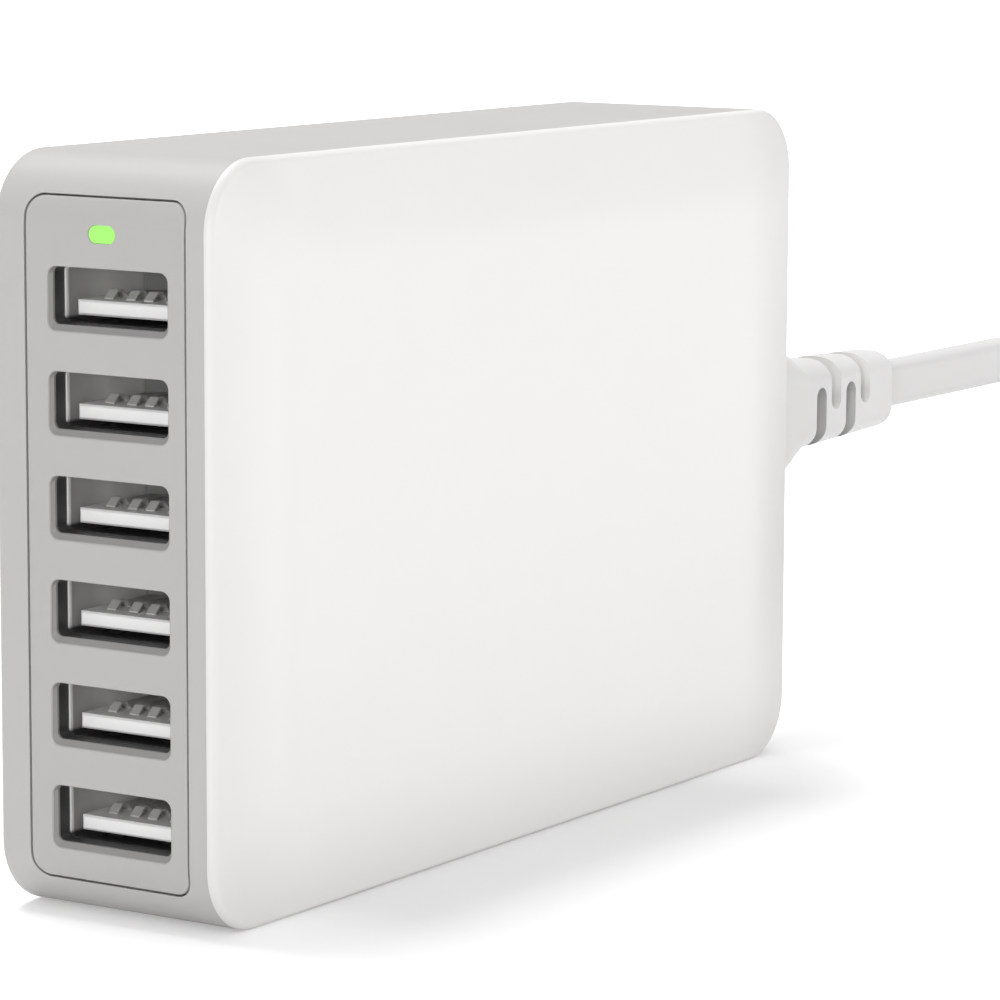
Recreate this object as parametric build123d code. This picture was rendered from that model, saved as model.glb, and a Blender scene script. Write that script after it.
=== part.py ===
from build123d import *
import os
from math import radians, sqrt, tan

# Six-port desktop charger with its flat mains lead, millimetres.
# X runs across the case, Y along it with the ports at -Y and the mains inlet at +Y, Z up.
# The origin is the middle of the case's underside.

# Case
LENGTH = 104.3
BAND_WIDTH = 22.0
CORNER_RADIUS = 6.6
BAND_WALL = 2.2
COVER_RIM = 0.9
COVER_CROWN = 1.5
LEFT_RIM = 1.7
LEFT_CROWN = 0.7
COVER_RIM_ROUND = 0.8
COVER_CROWN_REACH = 15.0
PAN_DEPTH = 0.6
LIP_DEPTH = 3.0
LIP_WALL = 1.2
LIP_FIT = 0.15
CLIP_WIDTH = 6.0
CLIP_LENGTH = 1.0
CLIP_NOSE = 0.6
CLIP_FIT = 0.2
CLIP_SPACING = 44.0
CROWN_STEPS = 3
CROWN_CORNER_GROWTH = 0.5

# Port panel
PORT_COUNT = 6
PORT_PITCH = 9.5
PORT_TOP_MARGIN = 12.7
PORT_BOTTOM_MARGIN = 9.8
PORT_WIDTH = 12.85
PORT_HEIGHT = 5.25
PORT_CORNER = 0.6
PORT_SHIFT = 0.25
MOUTH_SIDE_SLOPE = 0.3
MOUTH_FOOT_SLOPE = 0.53
MOUTH_CORNER = 0.9
MOUTH_DEPTH = 0.5
PANEL_SIDE_MARGIN = 2.45
PANEL_END_MARGIN = 3.78
PANEL_CORNER = 1.7
PANEL_LIP = 0.75
PANEL_PLATE = 1.2
PANEL_BOSS = 0.95
PANEL_LEDGE = 1.4
PANEL_FIT = 0.1
COLLAR_WALL = 0.4
COLLAR_FIT = 0.1
SEAM = 0.2

# Status light
LED_WIDTH = 3.05
LED_HEIGHT = 1.65
LED_SHIFT = -0.3
LED_ABOVE_PORT = 5.7
LED_RECESS = 0.12
LED_FIT = 0.05
LED_FLANGE = 0.5
LED_FLANGE_DEPTH = 0.8
LIGHT_PIPE_DIAMETER = 1.4
LED_CHIP_SIZE = 1.6
LED_CHIP_DEPTH = 0.8

# Type A receptacles
SHELL_WIDTH = 12.5
SHELL_HEIGHT = 5.12
SHELL_SHEET = 0.3
SHELL_CORNER = 0.5
SHELL_LENGTH = 12.5
SHELL_GAP = 0.05
SPRING_WIDTH = 1.6
SPRING_LENGTH = 4.6
SPRING_SLIT = 0.4
SPRING_OFFSET = 3.1
SPRING_SETBACK = 2.4
TONGUE_WIDTH = 11.3
TONGUE_THICKNESS = 1.4
TONGUE_SETBACK = 0.75
TONGUE_FLOOR_GAP = 0.58
TONGUE_BEVEL = 0.2
TONGUE_BLOCK = 1.0
TONGUE_FIT = 0.1
CONTACT_PITCHES = (-3.5, -1.0, 1.0, 3.5)
CONTACT_WIDTH = 1.0
CONTACT_THICKNESS = 0.2
CONTACT_SUNK = 0.1
CONTACT_SETBACK = 1.9
CONTACT_RAMP = 0.8
CONTACT_CREST = 0.7
CONTACT_RISE = 0.7

# Boards
BOARD_THICKNESS = 1.6
BOARD_SIDE_GAP = 0.6
BOARD_END_GAP = 0.2
BOARD_LIP_GAP = 0.45
BOARD_LINK_GAP = 0.4
RAIL_THICKNESS = 1.2
RAIL_HEIGHT = 2.5
RAIL_FIT = 0.1
POST_HEIGHT = 2.3
POST_DIAMETER = 5.0
POST_INSET = 4.5
STAKE_DIAMETER = 2.0
STAKE_FIT = 0.1
STAKE_HEAD_DIAMETER = 3.4
STAKE_HEAD = 0.8
SHEET_THICKNESS = 0.4
SHEET_FIT = 0.4

# Power parts on the main board, each an X, Y, Z size unless it is round
PART_GAP = 0.8
AC_END_MARGIN = 7.0
FILM_CAPACITOR = (13.0, 16.0, 9.0)
FILM_CAPACITOR_ROUND = 0.8
FILM_CAPACITOR_CLEAR = 2.5
CHOKE_RADIUS = 5.0
CHOKE_SECTION_RADIUS = 3.0
CHOKE_BEVEL = 1.2
CHOKE_HEIGHT_ABOVE_EDGE = 10.5
BRIDGE = (10.5, 3.5, 15.0)
BRIDGE_BEVEL = 2.5
FUSE_DIAMETER = 5.0
FUSE_LENGTH = 14.0
FUSE_CAP_LENGTH = 3.0
FUSE_WAIST = 0.3
BULK_DIAMETER = 10.5
BULK_LENGTH = 24.0
BULK_SPREAD = 28.0
CAN_GROOVE = 0.5
CAN_GROOVE_WIDTH = 1.2
CAN_GROOVE_SETBACK = 2.5
CAN_TOP_BEVEL = 0.5
SINK_THICKNESS = 1.6
SINK_HEIGHT = 15.0
SINK_LENGTH = 42.0
SINK_FOOT = 4.0
TRANSISTOR = (15.0, 4.4, 10.0)
TRANSISTOR_LEAD = 2.0
TRANSISTOR_LEAD_PITCH = 2.54
TRANSISTOR_LEAD_WIDTH = 0.8
CORE = (14.8, 11.0, 24.0)
CORE_LEG = 4.5
CORE_CENTRE_LEG = 7.0
CORE_YOKE = 3.8
WINDING_FIT = 0.25
Y_CAPACITOR_DIAMETER = 8.0
Y_CAPACITOR_THICKNESS = 3.5
Y_CAPACITOR_BEVEL = 0.8
OPTOCOUPLER = (3.5, 6.5, 4.6)
OUTPUT_CAN_DIAMETER = 8.0
OUTPUT_CAN_LENGTH = 15.0
OUTPUT_CAN_PITCH = 10.0
OUTPUT_CAN_COUNT = 4
LINK_HEADER = (2.5, 2.5, 40.0)
CHARGE_CHIP = (4.0, 1.5, 5.0)
CHARGE_CHIP_SHIFT = 2.5

# Mains inlet and connector
PIN_SPACING = 8.6
PIN_DIAMETER = 2.4
PIN_TIP_SETBACK = 1.5
PIN_TAIL = 3.0
NOSE_LOBE = 6.6
NOSE_WAIST = 4.6
NOSE_LENGTH = 9.5
INLET_FIT = 0.2
INLET_WALL = 1.2
INLET_CAVITY = 10.5
INLET_DEPTH = 13.0
INLET_FLANGE = 1.6
INLET_FLANGE_MARGIN = 2.0
INLET_SEAT_FIT = 0.1
SLEEVE_WALL = 0.5
SLEEVE_FIT = 0.05
SLEEVE_LENGTH = 8.5
CONNECTOR_GAP = 0.2
CONNECTOR_WIDTH = 10.5
CONNECTOR_HEIGHT = 16.5
CONNECTOR_CORNER = 4.2
CONNECTOR_BODY = 12.1
SHOULDER_LENGTH = 6.9
RELIEF_WIDTH = 8.0
RELIEF_HEIGHT = 10.2
RELIEF_CORNER = 3.4
RELIEF_LENGTH = 22.05
RELIEF_TIP_WIDTH = 6.9
RELIEF_TIP_HEIGHT = 9.0
RELIEF_TIP_CORNER = 2.8
RELIEF_TIP_ROUND = 1.7
SLOT_WIDTH = 2.4
SLOT_PITCH = 3.65
SLOT_START = 2.9
SLOT_COUNT = 4
LOW_SLOT_END = 2.0
HIGH_SLOT_END = -0.8
SLOT_CORE_WALL = 0.7

# Flat lead
CORD_WIDTH = 5.4
CORD_THICKNESS = 3.4
CORD_CORNER = 1.3
LANE_PITCH = 3.6
LAYER_PITCH = 5.5
LANES = 2
LAYERS = 3
FOLD_RADIUS = 16.2
HANK_RUN = 54.0
HANK_START = 109.7
HANK_EDGE_BEVEL = 0.8
HANK_LEAD_IN = 5.0
HANK_LEAD_OUT = 0.6
CORD_LEVEL_RUN = 36.45
CORD_FALL_RUN = 34.2
CORD_FALL = 9.4
CORD_EASE_RUN = 27.0
TIE_THICKNESS = 0.8
TIE_WIDTH = 9.0
TIE_FIT = 0.1
TAIL_LENGTH = 10.0
ARC_SHARE = 0.45

# Wall plug
PLUG_WIDTH = 15.0
PLUG_HEIGHT = 18.0
PLUG_CORNER = 4.0
PLUG_FACE_LENGTH = 9.0
PLUG_GRIP_LENGTH = 15.0
PLUG_GRIP_WIDTH = 11.0
PLUG_GRIP_HEIGHT = 13.5
PLUG_RELIEF_LENGTH = 13.0
PLUG_RELIEF_WIDTH = 5.6
PLUG_RELIEF_HEIGHT = 7.6
PLUG_RELIEF_CORNER = 2.4
PLUG_FACE_ROUND = 1.0
BLADE_SPACING = 12.7
BLADE_WIDTH = 6.3
BLADE_THICKNESS = 1.5
BLADE_LENGTH = 17.0
BLADE_HOLE = 3.1
BLADE_HOLE_SETBACK = 4.4
BLADE_ROOT = 4.0

# Places that follow from the sizes
HEIGHT = PORT_TOP_MARGIN + (PORT_COUNT - 1) * PORT_PITCH + PORT_BOTTOM_MARGIN
FRONT = -LENGTH / 2
BACK = LENGTH / 2
MID_Z = HEIGHT / 2
SEAT_X = BAND_WIDTH / 2
CEILING_X = SEAT_X + PAN_DEPTH
LIP_INSET = BAND_WALL + LIP_FIT
PAN_INSET = LIP_INSET + LIP_WALL
MOUTH_WIDTH = PORT_WIDTH + 2 * MOUTH_SIDE_SLOPE
MOUTH_HEIGHT = PORT_HEIGHT + MOUTH_FOOT_SLOPE
MOUTH_DROP = MOUTH_FOOT_SLOPE / 2
PANEL_WIDTH = PORT_WIDTH + 2 * PANEL_SIDE_MARGIN
PANEL_DEPTH = PANEL_PLATE + PANEL_BOSS
SHELL_FRONT = FRONT + PANEL_DEPTH + SHELL_GAP
SHELL_BACK = SHELL_FRONT + SHELL_LENGTH
PORT_BOARD_REAR = SHELL_BACK + BOARD_THICKNESS
INNER_HALF = SEAT_X - LIP_DEPTH - BOARD_SIDE_GAP
BOARD_INSET = PAN_INSET + BOARD_LIP_GAP
BOARD_BACK_X = -CEILING_X + POST_HEIGHT
BOARD_FACE_X = BOARD_BACK_X + BOARD_THICKNESS
MAIN_BOARD_FRONT = PORT_BOARD_REAR + BOARD_LINK_GAP
MAIN_BOARD_REAR = BACK - BOARD_INSET
LED_Z = HEIGHT - PORT_TOP_MARGIN + LED_ABOVE_PORT
RELIEF_START = BACK + CONNECTOR_GAP + CONNECTOR_BODY + SHOULDER_LENGTH
CORD_START = RELIEF_START + RELIEF_LENGTH
OVERLAP = 0.5


def bar(x0, x1, y0, y1, z0, z1):
    """A block between two corners."""
    block = Box(x1 - x0, y1 - y0, z1 - z0)
    return Pos((x0 + x1) / 2, (y0 + y1) / 2, (z0 + z1) / 2) * block


def port_z(index):
    """Height of a port's middle, counted from the top port."""
    return HEIGHT - PORT_TOP_MARGIN - index * PORT_PITCH


def side_outline(inset, corner):
    """The case seen from the side, drawn in by an inset."""
    return Pos(0, MID_Z) * RectangleRounded(LENGTH - 2 * inset, HEIGHT - 2 * inset, corner)


def side_slab(inset, x0, x1):
    """The case's side outline, drawn in by an inset, between two X places."""
    outline = side_outline(inset, CORNER_RADIUS - inset)
    return extrude(Plane.YZ.offset(x0) * outline, x1 - x0)


def front_prism(sketch, near, far):
    """A front-view sketch, taken from one depth behind the front face to another."""
    return extrude(Plane.XZ.offset(LENGTH / 2 - near) * sketch, near - far)


def across_prism(sketch, y0, y1):
    """A front-view sketch, taken from one Y place to another."""
    return extrude(Plane.XZ.offset(-y0) * sketch, y0 - y1)


def across_loft(sketch0, y0, sketch1, y1):
    """A straight-sided body between two front-view sketches."""
    faces = [Plane.XZ.offset(-y0) * sketch0, Plane.XZ.offset(-y1) * sketch1]
    return loft(faces, ruled=True)


def rounded(width, height, corner, z):
    """A front-view rounded rectangle on the case's middle plane."""
    return Pos(0, z) * RectangleRounded(width, height, corner)


def pill(width, height, x, z):
    """A front-view pill shape lying across the case."""
    return Pos(x, z) * SlotOverall(width, height)


# Case


def panel_outline(inset):
    """The port panel seen from the front, drawn in by an inset."""
    tall = HEIGHT - 2 * PANEL_END_MARGIN - 2 * inset
    return rounded(PANEL_WIDTH - 2 * inset, tall, max(PANEL_CORNER - inset, SEAM), MID_Z)


def front_skin(outer, inner):
    """The layer of the case's front between two depths, rounded ends included."""
    wide = PANEL_WIDTH
    layer = side_slab(outer, -wide, wide) - side_slab(inner, -wide, wide)
    return layer & bar(-wide, wide, FRONT, FRONT + CORNER_RADIUS, 0, HEIGHT)


def clip_noses(grow):
    """Snap noses on the right cover's lip, or their pockets when grown by a clearance."""
    x1 = SEAT_X - LIP_DEPTH + CLIP_NOSE + CLIP_LENGTH + grow
    x0 = SEAT_X - LIP_DEPTH + CLIP_NOSE - grow
    half = CLIP_WIDTH / 2 + grow
    reach = LIP_INSET - CLIP_NOSE - grow
    noses = Part()
    for y in (-CLIP_SPACING / 2, CLIP_SPACING / 2):
        noses += bar(x0, x1, y - half, y + half, reach, PAN_INSET)
        noses += bar(x0, x1, y - half, y + half, HEIGHT - PAN_INSET, HEIGHT - reach)
    return noses


def board_rails():
    """Two pairs of rails on the band's floor and roof that hold the port board's ends."""
    rails = Part()
    fronts = (SHELL_BACK - RAIL_FIT - RAIL_THICKNESS, PORT_BOARD_REAR + RAIL_FIT)
    for y in fronts:
        low = BAND_WALL - OVERLAP
        high = BAND_WALL + RAIL_HEIGHT
        rails += bar(-INNER_HALF, INNER_HALF, y, y + RAIL_THICKNESS, low, high)
        rails += bar(-INNER_HALF, INNER_HALF, y, y + RAIL_THICKNESS, HEIGHT - high, HEIGHT - low)
    return rails


def inlet_collar(grow):
    """Front view of the inlet's mouth."""
    tall = PIN_SPACING + NOSE_LOBE + 2 * (INLET_FIT + INLET_WALL + grow)
    wide = NOSE_LOBE + 2 * (INLET_FIT + INLET_WALL + grow)
    return Pos(0, MID_Z) * SlotOverall(tall, wide, rotation=90)


def centre_band():
    """The band round the case, open to both sides, with the panel's stepped opening."""
    band = side_slab(0, -SEAT_X, SEAT_X) - side_slab(BAND_WALL, -SEAT_X, SEAT_X)
    band += board_rails()
    band -= front_skin(0, PANEL_PLATE) & front_prism(panel_outline(-SEAM), 0, CORNER_RADIUS)
    band -= front_prism(panel_outline(PANEL_LEDGE - PANEL_FIT), 0, CORNER_RADIUS)
    band -= across_prism(inlet_collar(INLET_SEAT_FIT), BACK - 2 * BAND_WALL, BACK + OVERLAP)
    pockets = clip_noses(CLIP_FIT)
    band -= pockets
    band -= mirror(pockets, about=Plane.YZ)
    return band


def cover_crown(rim, crown):
    """A cover's softly pillowed face, a loft of ever smaller outlines."""
    faces = []
    for step in range(CROWN_STEPS + 1):
        share = step / CROWN_STEPS
        x = SEAT_X + rim + crown * (1 - (1 - share) ** 2)
        inset = COVER_CROWN_REACH * share
        outline = side_outline(inset, CORNER_RADIUS + CROWN_CORNER_GROWTH * inset)
        faces.append(Plane.YZ.offset(x) * outline)
    return loft(faces)


def side_cover(rim, crown):
    """A cover for the right-hand side: crowned face, rim, and a lip with snap noses."""
    rim_x = SEAT_X + rim
    cover = side_slab(0, SEAT_X, rim_x) + cover_crown(rim, crown)
    edges = cover.edges().filter_by_position(Axis.X, rim_x - SEAM, rim_x + SEAM / 2)
    cover = fillet(edges, COVER_RIM_ROUND)
    cover -= side_slab(PAN_INSET, SEAT_X - OVERLAP, CEILING_X)
    lip = side_slab(LIP_INSET, SEAT_X - LIP_DEPTH, CEILING_X)
    lip -= side_slab(PAN_INSET, SEAT_X - LIP_DEPTH, CEILING_X)
    port_end = PORT_BOARD_REAR + RAIL_THICKNESS
    lip -= bar(0, SEAT_X, FRONT, port_end, 0, HEIGHT)
    return cover + lip + clip_noses(0)


def post_places():
    """Y and Z of the posts that carry the main board."""
    ys = (MAIN_BOARD_FRONT + POST_INSET, MAIN_BOARD_REAR - POST_INSET)
    zs = (BOARD_INSET + POST_INSET, HEIGHT - BOARD_INSET - POST_INSET)
    return [(y, z) for y in ys for z in zs]


def lying_rod(radius, x0, x1, y, z):
    """A rod along X."""
    return Pos((x0 + x1) / 2, y, z) * Rot(0, 90, 0) * Cylinder(radius, x1 - x0)


def left_cover():
    """The left-hand cover, with the staked posts of the main board."""
    cover = mirror(side_cover(LEFT_RIM, LEFT_CROWN), about=Plane.YZ)
    for y, z in post_places():
        head_x = BOARD_FACE_X + STAKE_HEAD
        cover += lying_rod(POST_DIAMETER / 2, -CEILING_X - OVERLAP, BOARD_BACK_X, y, z)
        cover += lying_rod(STAKE_DIAMETER / 2, BOARD_BACK_X, head_x, y, z)
        cover += lying_rod(STAKE_HEAD_DIAMETER / 2, BOARD_FACE_X, head_x, y, z)
    return cover


def port_mouth(index):
    """Front view of one port's opening at the panel's face."""
    outline = RectangleRounded(MOUTH_WIDTH, MOUTH_HEIGHT, MOUTH_CORNER)
    return Pos(PORT_SHIFT, port_z(index) - MOUTH_DROP) * outline


def port_hole(index, grow):
    """Front view of one port's opening behind its mouth, grown by a margin."""
    outline = RectangleRounded(PORT_WIDTH + 2 * grow, PORT_HEIGHT + 2 * grow, PORT_CORNER + grow)
    return Pos(PORT_SHIFT, port_z(index)) * outline


def light_hole():
    """The light window's hole through the panel and its frame."""
    return front_prism(pill(LED_WIDTH, LED_HEIGHT, LED_SHIFT, LED_Z), -OVERLAP, PANEL_DEPTH + OVERLAP)


def port_panel():
    """The panel that fills the front opening, with six sloping port mouths and the light's hole."""
    panel = front_skin(0, PANEL_PLATE) & front_prism(panel_outline(0), 0, CORNER_RADIUS)
    for index in range(PORT_COUNT):
        hole = port_hole(index, 0)
        panel -= across_loft(port_mouth(index), FRONT, hole, FRONT + MOUTH_DEPTH)
        panel -= front_prism(hole, MOUTH_DEPTH, PANEL_LIP)
        panel -= front_prism(port_hole(index, COLLAR_WALL + COLLAR_FIT), PANEL_LIP, PANEL_DEPTH)
    return panel - light_hole()


def port_frame():
    """The black frame behind the panel, with a collar that lines each port."""
    frame = front_skin(PANEL_PLATE, PANEL_DEPTH)
    frame &= front_prism(panel_outline(PANEL_LEDGE), 0, CORNER_RADIUS)
    for index in range(PORT_COUNT):
        frame += front_prism(port_hole(index, COLLAR_WALL), PANEL_LIP, PANEL_DEPTH)
        frame -= front_prism(port_hole(index, 0), 0, PANEL_DEPTH + OVERLAP)
    low = port_z(PORT_COUNT - 1) - SHELL_HEIGHT / 2 - SHELL_SHEET - PANEL_FIT
    high = LED_Z + LED_HEIGHT / 2 + LED_FLANGE + PANEL_FIT
    frame -= bar(-SEAT_X, SEAT_X, FRONT + PANEL_DEPTH, FRONT + CORNER_RADIUS, low, high)
    return frame - light_hole()


def led_lens():
    """The light window, with its flange behind the panel and its light pipe."""
    flange_end = PANEL_DEPTH + SHELL_GAP + LED_FLANGE_DEPTH
    window = pill(LED_WIDTH - 2 * LED_FIT, LED_HEIGHT - 2 * LED_FIT, LED_SHIFT, LED_Z)
    flange = pill(LED_WIDTH + 2 * LED_FLANGE, LED_HEIGHT + 2 * LED_FLANGE, LED_SHIFT, LED_Z)
    pipe = Pos(LED_SHIFT, LED_Z) * Circle(LIGHT_PIPE_DIAMETER / 2)
    pipe_end = SHELL_BACK - LED_CHIP_DEPTH - LED_FIT - FRONT
    lens = front_prism(window, LED_RECESS, flange_end)
    lens += front_prism(flange, PANEL_DEPTH + SHELL_GAP, flange_end)
    return lens + front_prism(pipe, LED_RECESS, pipe_end)


# Receptacles


def usb_shell(index):
    """One receptacle's folded steel shell, with spring fingers in its roof and floor."""
    place = Pos(PORT_SHIFT, port_z(index))
    outer_corner = SHELL_CORNER + SHELL_SHEET
    outer = RectangleRounded(SHELL_WIDTH + 2 * SHELL_SHEET, SHELL_HEIGHT + 2 * SHELL_SHEET, outer_corner)
    inner = RectangleRounded(SHELL_WIDTH, SHELL_HEIGHT, SHELL_CORNER)
    shell = across_prism(place * (outer - inner), SHELL_FRONT, SHELL_BACK)
    y0 = SHELL_FRONT + SPRING_SETBACK
    y1 = y0 + SPRING_LENGTH
    half = SPRING_WIDTH / 2
    tall = SHELL_HEIGHT / 2 + OVERLAP
    for x in (PORT_SHIFT - SPRING_OFFSET, PORT_SHIFT + SPRING_OFFSET):
        window = bar(x - half - SPRING_SLIT, x + half + SPRING_SLIT, y0 - SPRING_SLIT, y1, -tall, tall)
        finger = bar(x - half, x + half, y0, y1, -tall, tall)
        shell -= Pos(0, 0, port_z(index)) * (window - finger)
    return shell


def tongue_levels(index):
    """Underside and top of one receptacle's tongue."""
    low = port_z(index) - SHELL_HEIGHT / 2 + TONGUE_FLOOR_GAP
    return low, low + TONGUE_THICKNESS


def usb_contacts(index):
    """Four spring contacts, each a strip with a bent crest."""
    level = tongue_levels(index)[1] - CONTACT_SUNK
    y0 = SHELL_FRONT + TONGUE_SETBACK + CONTACT_SETBACK
    y1 = y0 + CONTACT_RAMP
    y2 = y1 + CONTACT_CREST
    y3 = y2 + CONTACT_RAMP
    under = [(y0, 0), (y1, CONTACT_RISE), (y2, CONTACT_RISE), (y3, 0), (SHELL_BACK, 0)]
    over = [(y, rise + CONTACT_THICKNESS) for y, rise in reversed(under)]
    side = make_face(Polyline(*[(y, level + rise) for y, rise in under + over], close=True))
    strips = []
    for x in CONTACT_PITCHES:
        start = PORT_SHIFT + x - CONTACT_WIDTH / 2
        strips.append(extrude(Plane.YZ.offset(start) * side, CONTACT_WIDTH))
    return Compound(children=[strip.solid() for strip in strips])


def usb_tongue(index):
    """One receptacle's insulator: the block at the back of the shell and the tongue."""
    low, high = tongue_levels(index)
    y0 = SHELL_FRONT + TONGUE_SETBACK
    half = TONGUE_WIDTH / 2
    tongue = bar(PORT_SHIFT - half, PORT_SHIFT + half, y0, SHELL_BACK - TONGUE_BLOCK + OVERLAP, low, high)
    tongue = chamfer(tongue.faces().sort_by(Axis.Y)[0].edges(), TONGUE_BEVEL)
    wide = SHELL_WIDTH - 2 * TONGUE_FIT
    tall = SHELL_HEIGHT - 2 * TONGUE_FIT
    block = Pos(PORT_SHIFT, port_z(index)) * RectangleRounded(wide, tall, SHELL_CORNER)
    tongue += across_prism(block, SHELL_BACK - TONGUE_BLOCK, SHELL_BACK)
    for strip in usb_contacts(index).solids():
        tongue -= strip
    return tongue


# Boards


def port_board():
    """The upright board that carries the receptacles."""
    low = BAND_WALL + BOARD_END_GAP
    return bar(-INNER_HALF, INNER_HALF, SHELL_BACK, PORT_BOARD_REAR, low, HEIGHT - low)


def main_board():
    """The power board along the left side, staked on four posts."""
    board = side_slab(BOARD_INSET, BOARD_BACK_X, BOARD_FACE_X)
    board &= bar(-SEAT_X, SEAT_X, MAIN_BOARD_FRONT, BACK, 0, HEIGHT)
    for y, z in post_places():
        board -= lying_rod(STAKE_DIAMETER / 2 + STAKE_FIT, BOARD_BACK_X, BOARD_FACE_X, y, z)
    return board


def insulating_sheet():
    """The sheet between the main board's solder side and the left cover."""
    sheet = side_slab(BOARD_INSET, -CEILING_X, SHEET_THICKNESS - CEILING_X)
    sheet &= bar(-CEILING_X, 0, MAIN_BOARD_FRONT, BACK, 0, HEIGHT)
    for y, z in post_places():
        sheet -= lying_rod(POST_DIAMETER / 2 + SHEET_FIT, -CEILING_X, 0, y, z)
    return sheet


def standing(size, y0, z0):
    """A block of a given size on the main board, from its lower Y and Z sides."""
    x, y, z = size
    return bar(BOARD_FACE_X, BOARD_FACE_X + x, y0, y0 + y, z0, z0 + z)


def can(diameter, length):
    """An electrolytic can along Z, base at the origin, with its crimp groove."""
    body = Pos(0, 0, length / 2) * Cylinder(diameter / 2, length)
    groove = Cylinder(diameter / 2, CAN_GROOVE_WIDTH) - Cylinder(diameter / 2 - CAN_GROOVE, CAN_GROOVE_WIDTH)
    body -= Pos(0, 0, CAN_GROOVE_SETBACK) * groove
    return chamfer(body.edges().sort_by(Axis.Z)[-1], CAN_TOP_BEVEL)


AC_END = MAIN_BOARD_REAR - AC_END_MARGIN
CHOKE_REACH = CHOKE_RADIUS + CHOKE_SECTION_RADIUS
BULK_END = AC_END - 2 * CHOKE_REACH - PART_GAP
SINK_END = BULK_END - BULK_DIAMETER - PART_GAP
OUTPUT_START = MAIN_BOARD_FRONT + LINK_HEADER[1] + PART_GAP
WINDING_OUTER = CORE[2] / 2 - CORE_LEG - WINDING_FIT
WINDING_INNER = CORE_CENTRE_LEG / 2 + WINDING_FIT
WINDING_BULGE = WINDING_OUTER - WINDING_INNER
CORE_START = OUTPUT_START + OUTPUT_CAN_DIAMETER + PART_GAP + WINDING_BULGE


def film_capacitor():
    """The mains filter capacitor, above the inlet."""
    collar = PIN_SPACING + NOSE_LOBE + 2 * (INLET_FIT + INLET_WALL + INLET_FLANGE_MARGIN)
    low = MID_Z + collar / 2 + FILM_CAPACITOR_CLEAR
    block = standing(FILM_CAPACITOR, AC_END - FILM_CAPACITOR[1], low)
    return fillet(block.edges().filter_by(Axis.X), FILM_CAPACITOR_ROUND)


def input_choke():
    """The mains filter's ring choke, lying on the board."""
    section = Rectangle(2 * CHOKE_SECTION_RADIUS, 2 * CHOKE_SECTION_RADIUS)
    section = chamfer(section.vertices(), CHOKE_BEVEL)
    ring = revolve(Plane.XZ * Pos(CHOKE_RADIUS, 0) * section, Axis.Z)
    y = AC_END - CHOKE_REACH
    z = BOARD_INSET + CHOKE_HEIGHT_ABOVE_EDGE
    return Pos(BOARD_FACE_X + CHOKE_SECTION_RADIUS, y, z) * Rot(0, 90, 0) * ring


def bridge_rectifier():
    """The flat rectifier, with its bevelled corner."""
    block = standing(BRIDGE, BULK_END + PART_GAP, MID_Z - BRIDGE[2] / 2)
    corner = block.edges().filter_by(Axis.Y).sort_by(Axis.Z)[-2:].sort_by(Axis.X)[-1]
    return chamfer(corner, BRIDGE_BEVEL)


def fuse():
    """The glass fuse with its end caps, lying along Z beside the rectifier."""
    y = BULK_END + 2 * PART_GAP + BRIDGE[1] + FUSE_DIAMETER / 2
    glass = Cylinder(FUSE_DIAMETER / 2 - FUSE_WAIST, FUSE_LENGTH)
    tip = (FUSE_LENGTH - FUSE_CAP_LENGTH) / 2
    for end in (-tip, tip):
        glass += Pos(0, 0, end) * Cylinder(FUSE_DIAMETER / 2, FUSE_CAP_LENGTH)
    return Pos(BOARD_FACE_X + FUSE_DIAMETER / 2, y, MID_Z) * glass


def bulk_capacitors():
    """Two mains capacitors, lying along Z one above the other."""
    x = BOARD_FACE_X + BULK_DIAMETER / 2
    y = BULK_END - BULK_DIAMETER / 2
    lower = Pos(x, y, MID_Z - BULK_SPREAD / 2 - BULK_LENGTH / 2) * can(BULK_DIAMETER, BULK_LENGTH)
    upper = Pos(x, y, MID_Z + BULK_SPREAD / 2 - BULK_LENGTH / 2) * can(BULK_DIAMETER, BULK_LENGTH)
    return Compound(children=[lower.solid(), upper.solid()])


def heat_sink():
    """The upright plate beside the mains capacitors, with its foot folded on to the board."""
    y0 = SINK_END - SINK_THICKNESS
    plate = standing((SINK_HEIGHT, SINK_THICKNESS, SINK_LENGTH), y0, MID_Z - SINK_LENGTH / 2)
    foot = (SINK_THICKNESS, SINK_FOOT, SINK_LENGTH / 4)
    return plate + standing(foot, SINK_END - SINK_FOOT, MID_Z + SINK_LENGTH / 4)


def switch_transistor():
    """The mains switch, flat on the front of the heat sink and standing on its leads."""
    x, y, z = TRANSISTOR
    low = MID_Z - z / 2
    y0 = SINK_END - SINK_THICKNESS - y
    body = bar(BOARD_FACE_X + TRANSISTOR_LEAD, BOARD_FACE_X + x, y0, y0 + y, low, low + z)
    half = TRANSISTOR_LEAD_WIDTH / 2
    middle = y0 + y / 2
    lead_top = BOARD_FACE_X + TRANSISTOR_LEAD + OVERLAP
    for step in (-1, 0, 1):
        lead_z = MID_Z + step * TRANSISTOR_LEAD_PITCH
        body += bar(BOARD_FACE_X, lead_top, middle - half, middle + half, lead_z - half, lead_z + half)
    return body


def transformer_core():
    """The ferrite core: two outer legs, a centre leg and two yokes."""
    x, y, z = CORE
    low = MID_Z - z / 2
    core = standing(CORE, CORE_START, low)
    window = (z - 2 * CORE_LEG - CORE_CENTRE_LEG) / 2
    for z0 in (low + CORE_LEG, low + z - CORE_LEG - window):
        x1 = BOARD_FACE_X + x - CORE_YOKE
        core -= bar(BOARD_FACE_X + CORE_YOKE, x1, CORE_START, CORE_START + y, z0, z0 + window)
    return core


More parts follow.
